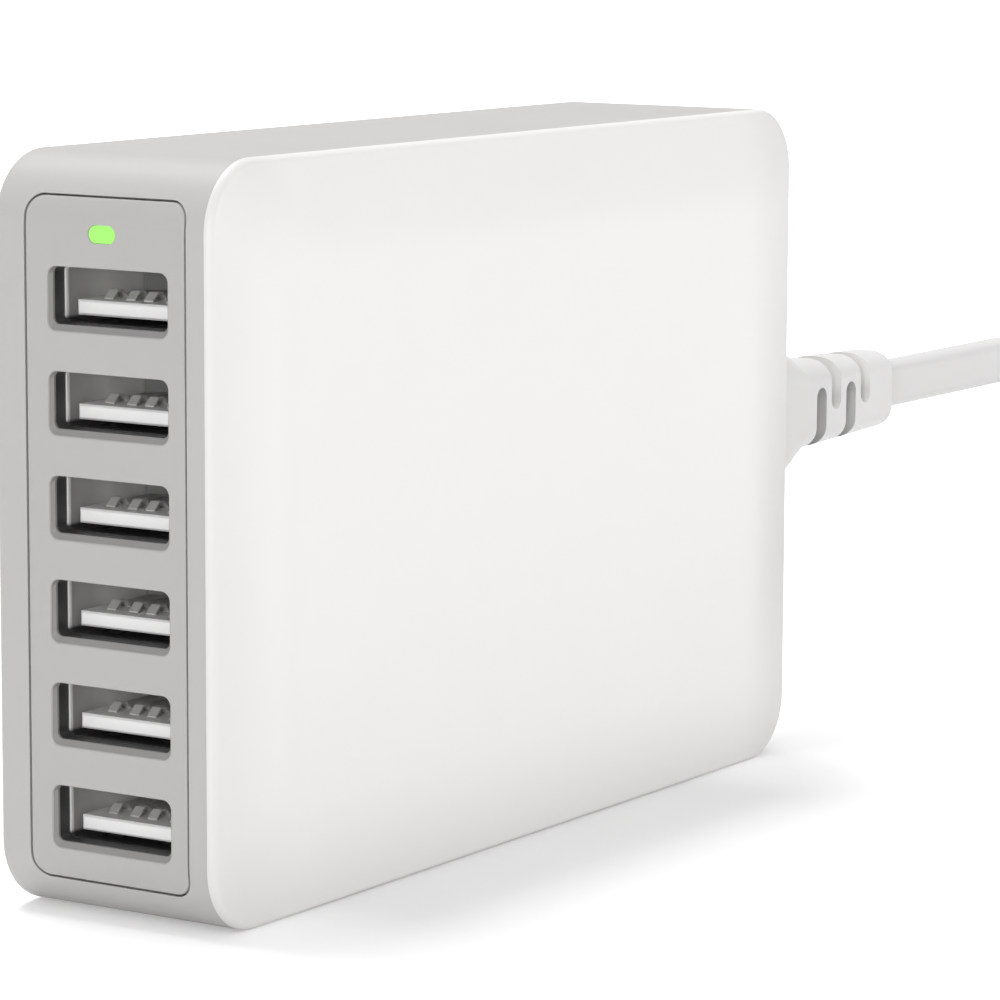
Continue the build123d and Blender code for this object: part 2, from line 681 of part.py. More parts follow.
def transformer_winding():
    """The taped winding round the core's centre leg."""
    x, y, z = CORE
    x0 = BOARD_FACE_X + CORE_YOKE + WINDING_FIT
    x1 = BOARD_FACE_X + x - CORE_YOKE - WINDING_FIT
    y0 = CORE_START - WINDING_BULGE
    y1 = CORE_START + y + WINDING_BULGE
    block = bar(x0, x1, y0, y1, MID_Z - WINDING_OUTER, MID_Z + WINDING_OUTER)
    block = fillet(block.edges().filter_by(Axis.X), WINDING_BULGE)
    y0 = CORE_START - WINDING_FIT
    y1 = CORE_START + y + WINDING_FIT
    return block - bar(x0, x1, y0, y1, MID_Z - WINDING_INNER, MID_Z + WINDING_INNER)


def y_capacitor():
    """The safety capacitor, a disc standing on its edge."""
    radius = Y_CAPACITOR_DIAMETER / 2
    disc = Rot(90, 0, 0) * Cylinder(radius, Y_CAPACITOR_THICKNESS)
    rims = disc.edges().filter_by(GeomType.CIRCLE)
    disc = chamfer(rims, Y_CAPACITOR_BEVEL)
    z = BOARD_INSET + CHOKE_HEIGHT_ABOVE_EDGE
    return Pos(BOARD_FACE_X + radius, CORE_START + CORE[1] / 2, z) * disc


def optocoupler():
    """The feedback coupler at the top of the board."""
    y0 = CORE_START + (CORE[1] - OPTOCOUPLER[1]) / 2
    return standing(OPTOCOUPLER, y0, HEIGHT - BOARD_INSET - CHOKE_HEIGHT_ABOVE_EDGE)


def output_capacitors():
    """A row of upright output capacitors."""
    y = OUTPUT_START + OUTPUT_CAN_DIAMETER / 2
    cans = []
    for index in range(OUTPUT_CAN_COUNT):
        z = MID_Z + (index - (OUTPUT_CAN_COUNT - 1) / 2) * OUTPUT_CAN_PITCH
        cans.append(Pos(BOARD_FACE_X, y, z) * Rot(0, 90, 0) * can(OUTPUT_CAN_DIAMETER, OUTPUT_CAN_LENGTH))
    return Compound(children=[each.solid() for each in cans])


def link_header():
    """The pin strip that joins the main board to the port board."""
    x, y, z = LINK_HEADER
    reach = y + BOARD_LINK_GAP
    return standing((x, reach, z), PORT_BOARD_REAR, MID_Z - z / 2)


def charge_chips():
    """One charging control chip behind each port."""
    x, y, z = CHARGE_CHIP
    chips = []
    for index in range(PORT_COUNT):
        low = port_z(index) - z / 2
        y0 = PORT_BOARD_REAR
        chips.append(bar(CHARGE_CHIP_SHIFT, CHARGE_CHIP_SHIFT + x, y0, y0 + y, low, low + z))
    return Compound(children=[chip.solid() for chip in chips])


def status_led():
    """The green light source on the port board."""
    half = LED_CHIP_SIZE / 2
    y0 = SHELL_BACK - LED_CHIP_DEPTH
    return bar(LED_SHIFT - half, LED_SHIFT + half, y0, SHELL_BACK, LED_Z - half, LED_Z + half)


# Mains inlet and connector


def nose_outline(grow):
    """Front view of the connector's two-lobed nose."""
    outline = Pos(0, MID_Z) * Rectangle(NOSE_WAIST + 2 * grow, PIN_SPACING)
    for z in (MID_Z - PIN_SPACING / 2, MID_Z + PIN_SPACING / 2):
        outline += Pos(0, z) * Circle(NOSE_LOBE / 2 + grow)
    return outline


def pin_pair(diameter, y0, y1):
    """Two rods along Y at the pins' places."""
    discs = [Pos(0, MID_Z + side * PIN_SPACING / 2) * Circle(diameter / 2) for side in (-1, 1)]
    return [across_prism(disc, y0, y1).solid() for disc in discs]


def inlet_pins():
    """The two mains pins."""
    return Compound(children=pin_pair(PIN_DIAMETER, BACK - INLET_DEPTH - PIN_TAIL, BACK - PIN_TIP_SETBACK))


def inlet_housing():
    """The inlet: a collar through the band's back wall, a flange behind it and the socket."""
    housing = across_prism(inlet_collar(0), BACK - INLET_DEPTH, BACK)
    wall = BACK - BAND_WALL
    housing += across_prism(inlet_collar(INLET_FLANGE_MARGIN), wall - INLET_FLANGE, wall)
    housing -= across_prism(nose_outline(INLET_FIT), BACK - INLET_CAVITY, BACK + OVERLAP)
    for pin in inlet_pins().solids():
        housing -= pin
    return housing


def relief_core():
    """The round-cornered core that the strain relief's slots stop at."""
    wide = CORD_THICKNESS + 2 * SLOT_CORE_WALL
    tall = CORD_WIDTH + 2 * SLOT_CORE_WALL
    return across_prism(rounded(wide, tall, CORD_CORNER, MID_Z), RELIEF_START, CORD_START)


def relief_slots():
    """Flexing slots, cut by turns from below and from above."""
    slots = Part()
    slot = SlotOverall(CONNECTOR_HEIGHT, SLOT_WIDTH, rotation=90)
    for index in range(SLOT_COUNT):
        y = RELIEF_START + SLOT_START + index * SLOT_PITCH
        if index % 2 == 0:
            z = MID_Z + LOW_SLOT_END - CONNECTOR_HEIGHT / 2
        else:
            z = MID_Z + HIGH_SLOT_END + CONNECTOR_HEIGHT / 2
        slots += extrude(Plane.YZ.offset(-CONNECTOR_WIDTH) * Pos(y, z) * slot, 2 * CONNECTOR_WIDTH)
    return slots - relief_core()


def cord_connector():
    """The moulded connector: nose, grip body, sloping shoulder and slotted strain relief."""
    face = BACK + CONNECTOR_GAP
    shoulder = face + CONNECTOR_BODY
    grip = rounded(CONNECTOR_WIDTH, CONNECTOR_HEIGHT, CONNECTOR_CORNER, MID_Z)
    relief = rounded(RELIEF_WIDTH, RELIEF_HEIGHT, RELIEF_CORNER, MID_Z)
    tip = rounded(RELIEF_TIP_WIDTH, RELIEF_TIP_HEIGHT, RELIEF_TIP_CORNER, MID_Z)
    body = across_prism(grip, face, shoulder)
    body += across_loft(grip, shoulder, relief, RELIEF_START)
    sleeve = across_loft(relief, RELIEF_START, tip, CORD_START)
    end = sleeve.faces().sort_by(Axis.Y)[-1]
    body += fillet(end.edges(), RELIEF_TIP_ROUND)
    body -= relief_slots()
    body += across_prism(nose_outline(0), face - NOSE_LENGTH, face + OVERLAP)
    bore = PIN_DIAMETER + 2 * (2 * SLEEVE_FIT + SLEEVE_WALL)
    for hole in pin_pair(bore, face - NOSE_LENGTH, face - NOSE_LENGTH + SLEEVE_LENGTH):
        body -= hole
    return body


def connector_sleeves():
    """The spring sleeves inside the nose, round the inlet's pins."""
    y0 = BACK + CONNECTOR_GAP - NOSE_LENGTH
    inner = PIN_DIAMETER + 2 * SLEEVE_FIT
    outers = pin_pair(inner + 2 * SLEEVE_WALL, y0, y0 + SLEEVE_LENGTH)
    inners = pin_pair(inner, y0, y0 + SLEEVE_LENGTH)
    return Compound(children=[(outer - hole).solid() for outer, hole in zip(outers, inners)])


# Lead

CORD_Z = TIE_THICKNESS + LAYERS * LAYER_PITCH + CORD_WIDTH / 2
HANK_X = FOLD_RADIUS
HANK_NEAR = BACK + HANK_START
HANK_FAR = HANK_NEAR + HANK_RUN
OUTER_LANE = FOLD_RADIUS + (LANES - 1) * LANE_PITCH
TAIL_X = HANK_X + OUTER_LANE
TAIL_Z = TIE_THICKNESS + LAYER_PITCH + CORD_WIDTH / 2
HANK_HALF = OUTER_LANE + CORD_THICKNESS / 2
TAIL_START = HANK_NEAR - sqrt(HANK_HALF**2 - (OUTER_LANE - CORD_THICKNESS / 2) ** 2) - HANK_LEAD_OUT
PLUG_START = TAIL_START - TAIL_LENGTH

CORD_ROUTE = [
    (0, CORD_START, MID_Z),
    (0, CORD_START + CORD_LEVEL_RUN, MID_Z),
    (0, CORD_START + CORD_LEVEL_RUN + CORD_FALL_RUN, MID_Z - CORD_FALL),
    (0, CORD_START + CORD_LEVEL_RUN + CORD_FALL_RUN + CORD_EASE_RUN, CORD_Z),
    (0, HANK_FAR - HANK_LEAD_IN, CORD_Z),
]


def arc_radii(points):
    """For each inner point of a route, the largest arc that its shorter run allows."""
    places = [Vector(*point) for point in points]
    radii = []
    for before, here, after in zip(places, places[1:], places[2:]):
        first = here - before
        second = after - here
        shorter = min(first.length, second.length)
        radii.append(ARC_SHARE * shorter / tan(radians(first.get_angle(second)) / 2))
    return radii


def cord_section(z):
    """Front view of the flat lead, on its edge."""
    return rounded(CORD_THICKNESS, CORD_WIDTH, CORD_CORNER, z)


def cord_run():
    """The lead from the connector down on to its hank."""
    radii = arc_radii(CORD_ROUTE)
    path = FilletPolyline(*CORD_ROUTE, radius=radii)
    section = Plane.XZ.offset(-CORD_START) * cord_section(MID_Z)
    tube = sweep(section, path)
    print("cord arc radii, mm:", [round(radius, 1) for radius in radii])
    print("cord volume over section times length:", round(tube.volume / (section.area * path.length), 4))
    return tube


def hank_outline(half_width):
    """Plan view of the hank at one half-width."""
    long = HANK_RUN + 2 * half_width
    return Pos(HANK_X, (HANK_NEAR + HANK_FAR) / 2) * SlotOverall(long, 2 * half_width, rotation=90)


def cord_hank():
    """The rest of the lead, folded into a tied hank, as one solid of its outer shape."""
    inner = FOLD_RADIUS - CORD_THICKNESS / 2
    ring = hank_outline(HANK_HALF) - hank_outline(inner)
    hank = extrude(Plane.XY.offset(TIE_THICKNESS) * ring, LAYERS * LAYER_PITCH)
    hank = chamfer(hank.edges().group_by(Axis.Z)[-1], HANK_EDGE_BEVEL)
    lead_in = across_prism(cord_section(CORD_Z), HANK_FAR - HANK_LEAD_IN, HANK_FAR)
    tail = Pos(TAIL_X, 0, 0) * across_prism(cord_section(TAIL_Z), TAIL_START, HANK_NEAR + OVERLAP)
    return hank + lead_in + tail


def cord_tail():
    """The lead's last stretch, from the hank to the wall plug."""
    return Pos(TAIL_X, 0, 0) * across_prism(cord_section(TAIL_Z), PLUG_START, TAIL_START)


def cord_tie():
    """The strap round the turns on the hank's outer side."""
    x0 = HANK_X + FOLD_RADIUS - CORD_THICKNESS / 2 - TIE_FIT
    x1 = TAIL_X + CORD_THICKNESS / 2 + TIE_FIT
    z1 = TIE_THICKNESS + LAYERS * LAYER_PITCH + TIE_FIT
    y = (HANK_NEAR + HANK_FAR) / 2
    half = TIE_WIDTH / 2
    wall = TIE_THICKNESS
    strap = bar(x0 - wall, x1 + wall, y - half, y + half, 0, z1 + wall)
    return strap - bar(x0, x1, y - half, y + half, wall, z1)


def wall_plug():
    """The two-blade wall plug, lying on its narrow side at the end of the lead."""
    tip = rounded(PLUG_RELIEF_WIDTH, PLUG_RELIEF_HEIGHT, PLUG_RELIEF_CORNER, TAIL_Z)
    grip = rounded(PLUG_GRIP_WIDTH, PLUG_GRIP_HEIGHT, PLUG_CORNER, TAIL_Z)
    face = rounded(PLUG_WIDTH, PLUG_HEIGHT, PLUG_CORNER, PLUG_HEIGHT / 2)
    y1 = PLUG_START - PLUG_RELIEF_LENGTH
    y2 = y1 - PLUG_GRIP_LENGTH
    y3 = y2 - PLUG_FACE_LENGTH
    plug = across_loft(grip, y1, tip, PLUG_START)
    plug += across_loft(face, y2, grip, y1)
    head = across_prism(face, y3, y2)
    front = head.faces().sort_by(Axis.Y)[0]
    plug += fillet(front.edges(), PLUG_FACE_ROUND)
    plug = Pos(TAIL_X, 0, 0) * plug
    for blade in wall_plug_blades().solids():
        plug -= blade
    return plug


def wall_plug_blades():
    """The plug's two flat blades, with the hole near each tip."""
    face = PLUG_START - PLUG_RELIEF_LENGTH - PLUG_GRIP_LENGTH - PLUG_FACE_LENGTH
    tip = face - BLADE_LENGTH
    half = BLADE_WIDTH / 2
    blades = []
    for side in (-1, 1):
        z = PLUG_HEIGHT / 2 + side * BLADE_SPACING / 2
        low = z - BLADE_THICKNESS / 2
        blade = bar(TAIL_X - half, TAIL_X + half, tip, face + BLADE_ROOT, low, low + BLADE_THICKNESS)
        hole = Cylinder(BLADE_HOLE / 2, 2 * BLADE_THICKNESS)
        blade -= Pos(TAIL_X, tip + BLADE_HOLE_SETBACK, z) * hole
        blades.append(blade.solid())
    return Compound(children=blades)


def all_nodes():
    """Every piece of the charger under its node's name."""
    nodes = {
        "centre_band": centre_band(),
        "side_cover_right": side_cover(COVER_RIM, COVER_CROWN),
        "side_cover_left": left_cover(),
        "port_panel": port_panel(),
        "port_frame": port_frame(),
        "led_lens": led_lens(),
        "port_board": port_board(),
        "main_board": main_board(),
        "insulating_sheet": insulating_sheet(),
        "film_capacitor": film_capacitor(),
        "input_choke": input_choke(),
        "bridge_rectifier": bridge_rectifier(),
        "fuse": fuse(),
        "bulk_capacitors": bulk_capacitors(),
        "heat_sink": heat_sink(),
        "switch_transistor": switch_transistor(),
        "transformer_core": transformer_core(),
        "transformer_winding": transformer_winding(),
        "y_capacitor": y_capacitor(),
        "optocoupler": optocoupler(),
        "output_capacitors": output_capacitors(),
        "link_header": link_header(),
        "charge_chips": charge_chips(),
        "status_led": status_led(),
        "inlet_housing": inlet_housing(),
        "inlet_pins": inlet_pins(),
        "cord_connector": cord_connector(),
        "connector_sleeves": connector_sleeves(),
        "cord_run": cord_run(),
        "cord_hank": cord_hank(),
        "cord_tail": cord_tail(),
        "cord_tie": cord_tie(),
        "wall_plug": wall_plug(),
        "wall_plug_blades": wall_plug_blades(),
    }
    for index in range(PORT_COUNT):
        nodes[f"usb_shell_{index + 1}"] = usb_shell(index)
        nodes[f"usb_tongue_{index + 1}"] = usb_tongue(index)
        nodes[f"usb_contacts_{index + 1}"] = usb_contacts(index)
    return nodes


os.makedirs("parts", exist_ok=True)
for name, shape in all_nodes().items():
    export_step(shape, f"parts/{name}.step")
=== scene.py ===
"""Looks of the desktop charger: smooth case, soft-edged port panel, moulded connector and flat mains lead."""

import logging
import math
from dataclasses import dataclass, field
from enum import Enum
from typing import Callable, ClassVar, Sequence

import bmesh
import bpy
from mathutils import Matrix, Vector


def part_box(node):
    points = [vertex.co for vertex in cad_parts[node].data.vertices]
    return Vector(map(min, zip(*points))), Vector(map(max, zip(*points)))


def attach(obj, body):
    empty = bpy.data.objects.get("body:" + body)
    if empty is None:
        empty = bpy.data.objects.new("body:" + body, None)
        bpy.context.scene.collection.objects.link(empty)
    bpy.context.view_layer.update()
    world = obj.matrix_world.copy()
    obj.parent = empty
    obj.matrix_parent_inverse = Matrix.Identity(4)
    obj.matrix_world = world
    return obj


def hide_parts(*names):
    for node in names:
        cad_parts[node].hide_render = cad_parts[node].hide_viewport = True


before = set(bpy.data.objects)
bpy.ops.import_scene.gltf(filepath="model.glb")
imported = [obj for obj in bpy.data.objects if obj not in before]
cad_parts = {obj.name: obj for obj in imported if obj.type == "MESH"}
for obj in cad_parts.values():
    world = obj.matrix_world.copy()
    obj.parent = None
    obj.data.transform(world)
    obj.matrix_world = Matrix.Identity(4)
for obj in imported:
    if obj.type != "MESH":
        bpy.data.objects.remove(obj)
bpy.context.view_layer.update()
LOG = logging.getLogger("charger")
MM = 0.001
NEAR = 0.01 * MM
ALIGNED = 0.999
FACING = 0.9
FULL_ROUND = 0.99
PORTS = range(1, 7)
ORIGIN = Vector((0, 0, 0))
WHITE = (1, 1, 1, 1)
Socket = bpy.types.NodeSocket
Colour = tuple[float, float, float]
Stops = tuple[tuple[float, float], ...]
Inputs = dict[str | int, object]


class Along(Enum):
    """The row axis that an edge or a tube runs along."""

    X = 0
    Y = 1
    Z = 2


class Leg(Enum):
    """One stretch of a turn of the hank, in the order the lead runs through them."""

    WEST = "west run"
    FAR = "far fold"
    EAST = "east run"
    NEAR = "near fold"


class Bench:
    """A piece on the bench: a mesh object and the hand tools that shape it."""

    def __init__(self, piece: bpy.types.Object) -> None:
        """Puts a mesh object on the bench."""
        self.piece = piece

    @classmethod
    def block(cls, name: str, low: Vector, high: Vector) -> "Bench":
        """Adds a block between two corners, with its place in its mesh.

        Args:
            name: The new object's name.
            low: Its lowest corner, in metres.
            high: Its highest corner, in metres.

        Returns:
            The bench that holds it.
        """
        cls.clear()
        bpy.ops.mesh.primitive_cube_add(size=1.0, location=(low + high) / 2)
        piece = bpy.context.object
        piece.name = name
        piece.data.name = name
        piece.scale = high - low
        bpy.ops.object.transform_apply(location=True, rotation=False, scale=True)
        return cls(piece)

    @classmethod
    def rounded_block(
        cls, name: str, low: Vector, high: Vector, along: Along, radius: float, segments: int
    ) -> "Bench":
        """Adds a block whose four edges along one axis are rounded.

        Args:
            name: The new object's name.
            low: Its lowest corner.
            high: Its highest corner.
            along: The axis of the rounded edges.
            radius: Their radius.
            segments: The faces of each rounding.

        Returns:
            The bench that holds it.
        """
        bench = cls.block(name, low, high)
        bench.pick_edges(lambda edge: cls.runs_along(edge, along))
        bench.bevel(radius, segments)
        return bench

    @staticmethod
    def clear() -> None:
        """Leaves edit mode and selects nothing."""
        if bpy.context.mode != "OBJECT":
            bpy.ops.object.mode_set(mode="OBJECT")
        bpy.ops.object.select_all(action="DESELECT")

    @staticmethod
    def runs_along(edge: bmesh.types.BMEdge, along: Along) -> bool:
        """Tells whether an edge is parallel to an axis."""
        step = edge.verts[1].co - edge.verts[0].co
        return abs(step[along.value]) > ALIGNED * step.length

    def edit(self) -> None:
        """Takes the piece alone into edit mode."""
        if self.piece.mode == "EDIT":
            return
        self.rest()
        bpy.ops.object.mode_set(mode="EDIT")

    def rest(self) -> None:
        """Leaves edit mode, with the piece selected and active."""
        self.clear()
        bpy.context.view_layer.objects.active = self.piece
        self.piece.select_set(True)

    def pick_edges(self, test: Callable[[bmesh.types.BMEdge], bool]) -> None:
        """Selects the edges that pass a test, and nothing else."""
        self.pick("EDGE", test)

    def pick_faces(self, test: Callable[[bmesh.types.BMFace], bool]) -> None:
        """Selects the faces that pass a test, and nothing else."""
        self.pick("FACE", test)

    def pick(self, kind: str, test: Callable[..., bool]) -> None:
        """Selects the edges or the faces that pass a test, and nothing else.

        Args:
            kind: The select mode, EDGE or FACE.
            test: Tells whether an edge or a face is selected.
        """
        self.edit()
        bpy.ops.mesh.select_mode(type=kind)
        bpy.ops.mesh.select_all(action="DESELECT")
        mesh = bmesh.from_edit_mesh(self.piece.data)
        for element in mesh.edges if kind == "EDGE" else mesh.faces:
            element.select_set(test(element))
        bmesh.update_edit_mesh(self.piece.data)

    def pick_end(self, towards: Vector) -> None:
        """Selects the flat end face that looks a given way and lies furthest out.

        Args:
            towards: The way the end looks.
        """
        self.edit()
        mesh = bmesh.from_edit_mesh(self.piece.data)
        facing = [face for face in mesh.faces if face.normal.dot(towards) > ALIGNED]
        end = max(face.calc_center_median().dot(towards) for face in facing)
        self.pick_faces(
            lambda face: face.normal.dot(towards) > ALIGNED
            and face.calc_center_median().dot(towards) > end - NEAR
        )

    def pick_ring(self, y: float) -> None:
        """Selects the edges that lie at one Y place."""
        self.pick_edges(lambda edge: all(abs(vert.co.y - y) < NEAR for vert in edge.verts))

    def bevel(self, offset: float, segments: int) -> None:
        """Rounds the selected edges."""
        bpy.ops.mesh.bevel(offset=offset, segments=segments, profile=0.5, affect="EDGES", clamp_overlap=False)

    def extrude(self, step: Vector) -> None:
        """Extrudes the selected faces by a step."""
        bpy.ops.mesh.extrude_region_move(TRANSFORM_OT_translate={"value": step})

    def resize(self, scale: Vector, about: Vector) -> None:
        """Scales the selection about a point."""
        bpy.ops.transform.resize(value=scale, center_override=about)

    def shift(self, step: Vector) -> None:
        """Moves the selection by a step."""
        bpy.ops.transform.translate(value=step)

    def inset(self, thickness: float, depth: float = 0.0) -> None:
        """Insets the selected face and moves what is left along its normal."""
        bpy.ops.mesh.inset(thickness=thickness, depth=depth, use_even_offset=True)

    def open_ends(self, along: Along) -> None:
        """Takes away the faces that look along an axis, either way."""
        self.pick_faces(lambda face: abs(face.normal[along.value]) > FACING)
        bpy.ops.mesh.delete(type="FACE")

    def round_end(
        self, towards: Vector, radius: float, steps: int, reach: float = 90.0, hollow: bool = False
    ) -> None:
        """Adds a rounded rim to an end face, a ring at a time.

        Args:
            towards: The way the end looks.
            radius: The rounding's radius.
            steps: The rings of the rounding.
            reach: The degrees that the rounding turns through.
            hollow: Whether it curves the other way, so that what it cuts keeps a rounded edge.
        """
        self.pick_end(towards)
        for step in range(steps):
            before = math.radians(reach * step / steps)
            after = math.radians(reach * (step + 1) / steps)
            inward = radius * (math.cos(before) - math.cos(after))
            onward = radius * (math.sin(after) - math.sin(before))
            if hollow:
                inward, onward = onward, inward
            self.inset(inward, onward)

    def modify(self, kind: str, **values: object) -> None:
        """Adds a modifier and applies it.

        Args:
            kind: The modifier's type.
            values: Its settings.
        """
        self.rest()
        bpy.ops.object.modifier_add(type=kind)
        modifier = self.piece.modifiers[-1]
        for key, value in values.items():
            setattr(modifier, key, value)
        bpy.ops.object.modifier_apply(modifier=modifier.name)

    def cut(self, cutter: "Bench", operation: str = "DIFFERENCE") -> None:
        """Cuts with another piece, which leaves its finish on the cut and is then thrown away.

        Args:
            cutter: The piece to cut with.
            operation: The boolean's own word for it.
        """
        cutter.rest()
        finish = "TRANSFER" if cutter.piece.data.materials else "INDEX"
        self.modify("BOOLEAN", operation=operation, solver="EXACT", material_mode=finish, object=cutter.piece)
        bpy.data.objects.remove(cutter.piece)

    def thicken(self, wall: float) -> None:
        """Gives an open skin a wall on its inner side."""
        self.modify("SOLIDIFY", thickness=wall, offset=-1.0, use_even_offset=True)

    def dress(self, finish: bpy.types.Material) -> None:
        """Gives the whole piece one finish."""
        self.piece.data.materials.clear()
        self.piece.data.materials.append(finish)

    def dress_faces(self, finish: bpy.types.Material, test: Callable[[bmesh.types.BMFace], bool]) -> None:
        """Gives some faces a finish of their own.

        Args:
            finish: The finish.
            test: Tells whether a face takes it.
        """
        self.piece.data.materials.append(finish)
        self.pick_faces(test)
        self.piece.active_material_index = len(self.piece.data.materials) - 1
        bpy.ops.object.material_slot_assign()
        self.rest()

    def turn_outwards(self) -> None:
        """Turns every face outwards."""
        self.edit()
        bpy.ops.mesh.select_all(action="SELECT")
        bpy.ops.mesh.normals_make_consistent(inside=False)

    def mirror_x(self) -> None:
        """Mirrors the whole mesh across the middle plane and turns its faces outwards again."""
        self.edit()
        bpy.ops.mesh.select_all(action="SELECT")
        self.resize(Vector((-1, 1, 1)), ORIGIN)
        self.turn_outwards()
        self.rest()

    def smooth(self, degrees: float = 32.0) -> None:
        """Shades the piece smooth, with flat faces keeping their own normals.

        Args:
            degrees: The angle below which an edge is smooth.
        """
        self.rest()
        bpy.ops.object.shade_smooth_by_angle(angle=math.radians(degrees))
        self.modify("WEIGHTED_NORMAL", keep_sharp=True)


class Tree:
    """A node tree, with short ways to add and feed nodes."""

    def __init__(self, tree: bpy.types.NodeTree) -> None:
        """Takes up a node tree."""
        self.tree = tree

    def add(self, kind: str, inputs: Inputs | None = None, **values: object) -> bpy.types.Node:
        """Adds a node.

        Args:
            kind: The node's type.
            inputs: Its inputs' values, or the sockets that feed them.
            values: Its own settings.

        Returns:
            The node.
        """
        node = self.tree.nodes.new(kind)
        for key, value in values.items():
            setattr(node, key, value)
        self.feed(node, inputs or {})
        return node

    def feed(self, node: bpy.types.Node, inputs: Inputs) -> None:
        """Sets a node's inputs, with a link where a socket feeds one.

        Args:
            node: The node.
            inputs: Its inputs' values, or the sockets that feed them.
        """
        for key, value in inputs.items():
            if isinstance(value, Socket):
                self.tree.links.new(value, node.inputs[key])
            else:
                node.inputs[key].default_value = value

    def maths(self, operation: str, *parts: Socket | float) -> Socket:
        """Adds a sum of sockets and numbers, by the operation's own word."""
        node = self.add("ShaderNodeMath", dict(enumerate(parts)), operation=operation)
        return node.outputs["Value"]

    def seen(self) -> Socket:
        """Adds the test for what the camera, a mirror or a clear piece looks at.

        Returns:
            A socket that is 1 for those rays.
        """
        path = self.add("ShaderNodeLightPath")
        total = path.outputs["Is Camera Ray"]
        for name in ("Is Glossy Ray", "Is Transmission Ray"):
            total = self.maths("MAXIMUM", total, path.outputs[name])
        return total


class Nodes(Tree):
    """A material's nodes: its shader, its object coordinates and the patterns between them."""

    METRE_BANDS: ClassVar[float] = math.pi / 10
    RAMP_ENDS: ClassVar[tuple[float, float]] = (0.3, 0.7)

    def __init__(self, name: str) -> None:
        """Starts a material with its shader and its object coordinates.

        Args:
            name: The material's name.
        """
        self.material = bpy.data.materials.new(name)
        self.material.use_nodes = True
        super().__init__(self.material.node_tree)
        self.shader = self.tree.nodes["Principled BSDF"]
        self.place = self.add("ShaderNodeTexCoord").outputs["Object"]

    def shade(self, inputs: Inputs) -> None:
        """Sets the shader's inputs, by values or by sockets."""
        self.feed(self.shader, inputs)

    def noise(self, size: float, stretch: Sequence[float] = (1, 1, 1), detail: float = 4.0) -> Socket:
        """Adds noise in object space.

        Args:
            size: The pattern's size in millimetres.
            stretch: How much longer the pattern is along each axis.
            detail: The noise's octaves.

        Returns:
            The noise's value socket.
        """
        scale = [1 / (MM * size * part) for part in stretch]
        place = self.add("ShaderNodeMapping", {"Scale": scale, "Vector": self.place}).outputs["Vector"]
        noise = self.add("ShaderNodeTexNoise", {"Scale": 1.0, "Detail": detail, "Vector": place})
        return noise.outputs["Fac"]

    def bands(self, pitch: float, axis: str) -> Socket:
        """Adds even bands across an axis.

        Args:
            pitch: How far apart they are, in millimetres.
            axis: The wave texture's own word for the axis.

        Returns:
            The bands' value socket.
        """
        inputs = {"Scale": self.METRE_BANDS / (pitch * MM), "Vector": self.place}
        wave = self.add("ShaderNodeTexWave", inputs, wave_type="BANDS", bands_direction=axis)
        return wave.outputs["Fac"]

    def span(
        self, source: Socket, ends: Sequence[float] = (0, 1), to: Sequence[float] = (0, 1), **values: object
    ) -> Socket:
        """Maps one range of a value on to another.

        Args:
            source: The value's socket.
            ends: The range that it comes from.
            to: The range that it goes to.
            values: The node's other settings.

        Returns:
            The new value's socket.
        """
        inputs = {"Value": source, "From Min": ends[0], "From Max": ends[1], "To Min": to[0], "To Max": to[1]}
        return self.add("ShaderNodeMapRange", inputs, **values).outputs["Result"]

    def blend(self, source: Socket, stops: Sequence[tuple[float, Colour]]) -> Socket:
        """Adds a colour that runs through stops.

        Args:
            source: The value's socket, from 0 to 1.
            stops: Pairs of a value and the colour there.

        Returns:
            The colour's socket.
        """
        node = self.add("ShaderNodeValToRGB", {"Fac": source})
        elements = node.color_ramp.elements
        while len(elements) < len(stops):
            elements.new(1.0)
        for element, (place, colour) in zip(elements, stops):
            element.position = place
            element.color = (*colour, 1)
        return node.outputs["Color"]

    def ramp(self, source: Socket, dark: Colour, light: Colour) -> None:
        """Colours the shader between two colours by a value."""
        self.shade({"Base Color": self.blend(source, list(zip(self.RAMP_ENDS, (dark, light))))})

    def fade(self, source: Socket, start: float, colour: Colour, stops: Stops) -> Socket:
        """Adds a colour that changes with a distance.

        Args:
            source: The distance's socket, in metres.
            start: Where the stops count from.
            colour: The full colour.
            stops: Pairs of millimetres and the share of the colour there.

        Returns:
            The colour's socket.
        """
        reach = stops[-1][0]
        part = self.span(source, (start, start + reach * MM))
        return self.blend(part, [(place / reach, tone(colour, share)) for place, share in stops])

    def dim(self, colour: Socket, share: Socket) -> Socket:
        """Adds a colour taken down to a share of itself."""
        node = self.add("ShaderNodeVectorMath", {0: colour, "Scale": share}, operation="SCALE")
        return node.outputs["Vector"]

    def axis(self, along: Along) -> Socket:
        """Adds the place along one axis, in metres."""
        return self.add("ShaderNodeSeparateXYZ", {"Vector": self.place}).outputs[along.value]

    def box_distance(self, centre: Vector, half: Vector) -> Socket:
        """Adds the distance from a box, 0 inside it.

        Args:
            centre: The box's centre.
            half: Half its size.

        Returns:
            The distance's socket, in metres.
        """
        vector = self.place
        steps = (("SUBTRACT", centre), ("ABSOLUTE", ORIGIN), ("SUBTRACT", half), ("MAXIMUM", ORIGIN))
        for operation, value in steps:
            node = self.add("ShaderNodeVectorMath", {0: vector, 1: value}, operation=operation)
            vector = node.outputs["Vector"]
        return self.add("ShaderNodeVectorMath", {0: vector}, operation="LENGTH").outputs["Value"]

    def rough(self, source: Socket, middle: float, swing: float) -> None:
        """Lets a value swing the roughness about its middle."""
        self.shade({"Roughness": self.span(source, to=(middle - swing, middle + swing))})

    def bump(self, source: Socket, strength: float, height: float) -> None:
        """Gives the surface a relief, its height in millimetres."""
        node = self.add("ShaderNodeBump", {"Strength": strength, "Distance": height * MM, "Height": source})
        self.shade({"Normal": node.outputs["Normal"]})

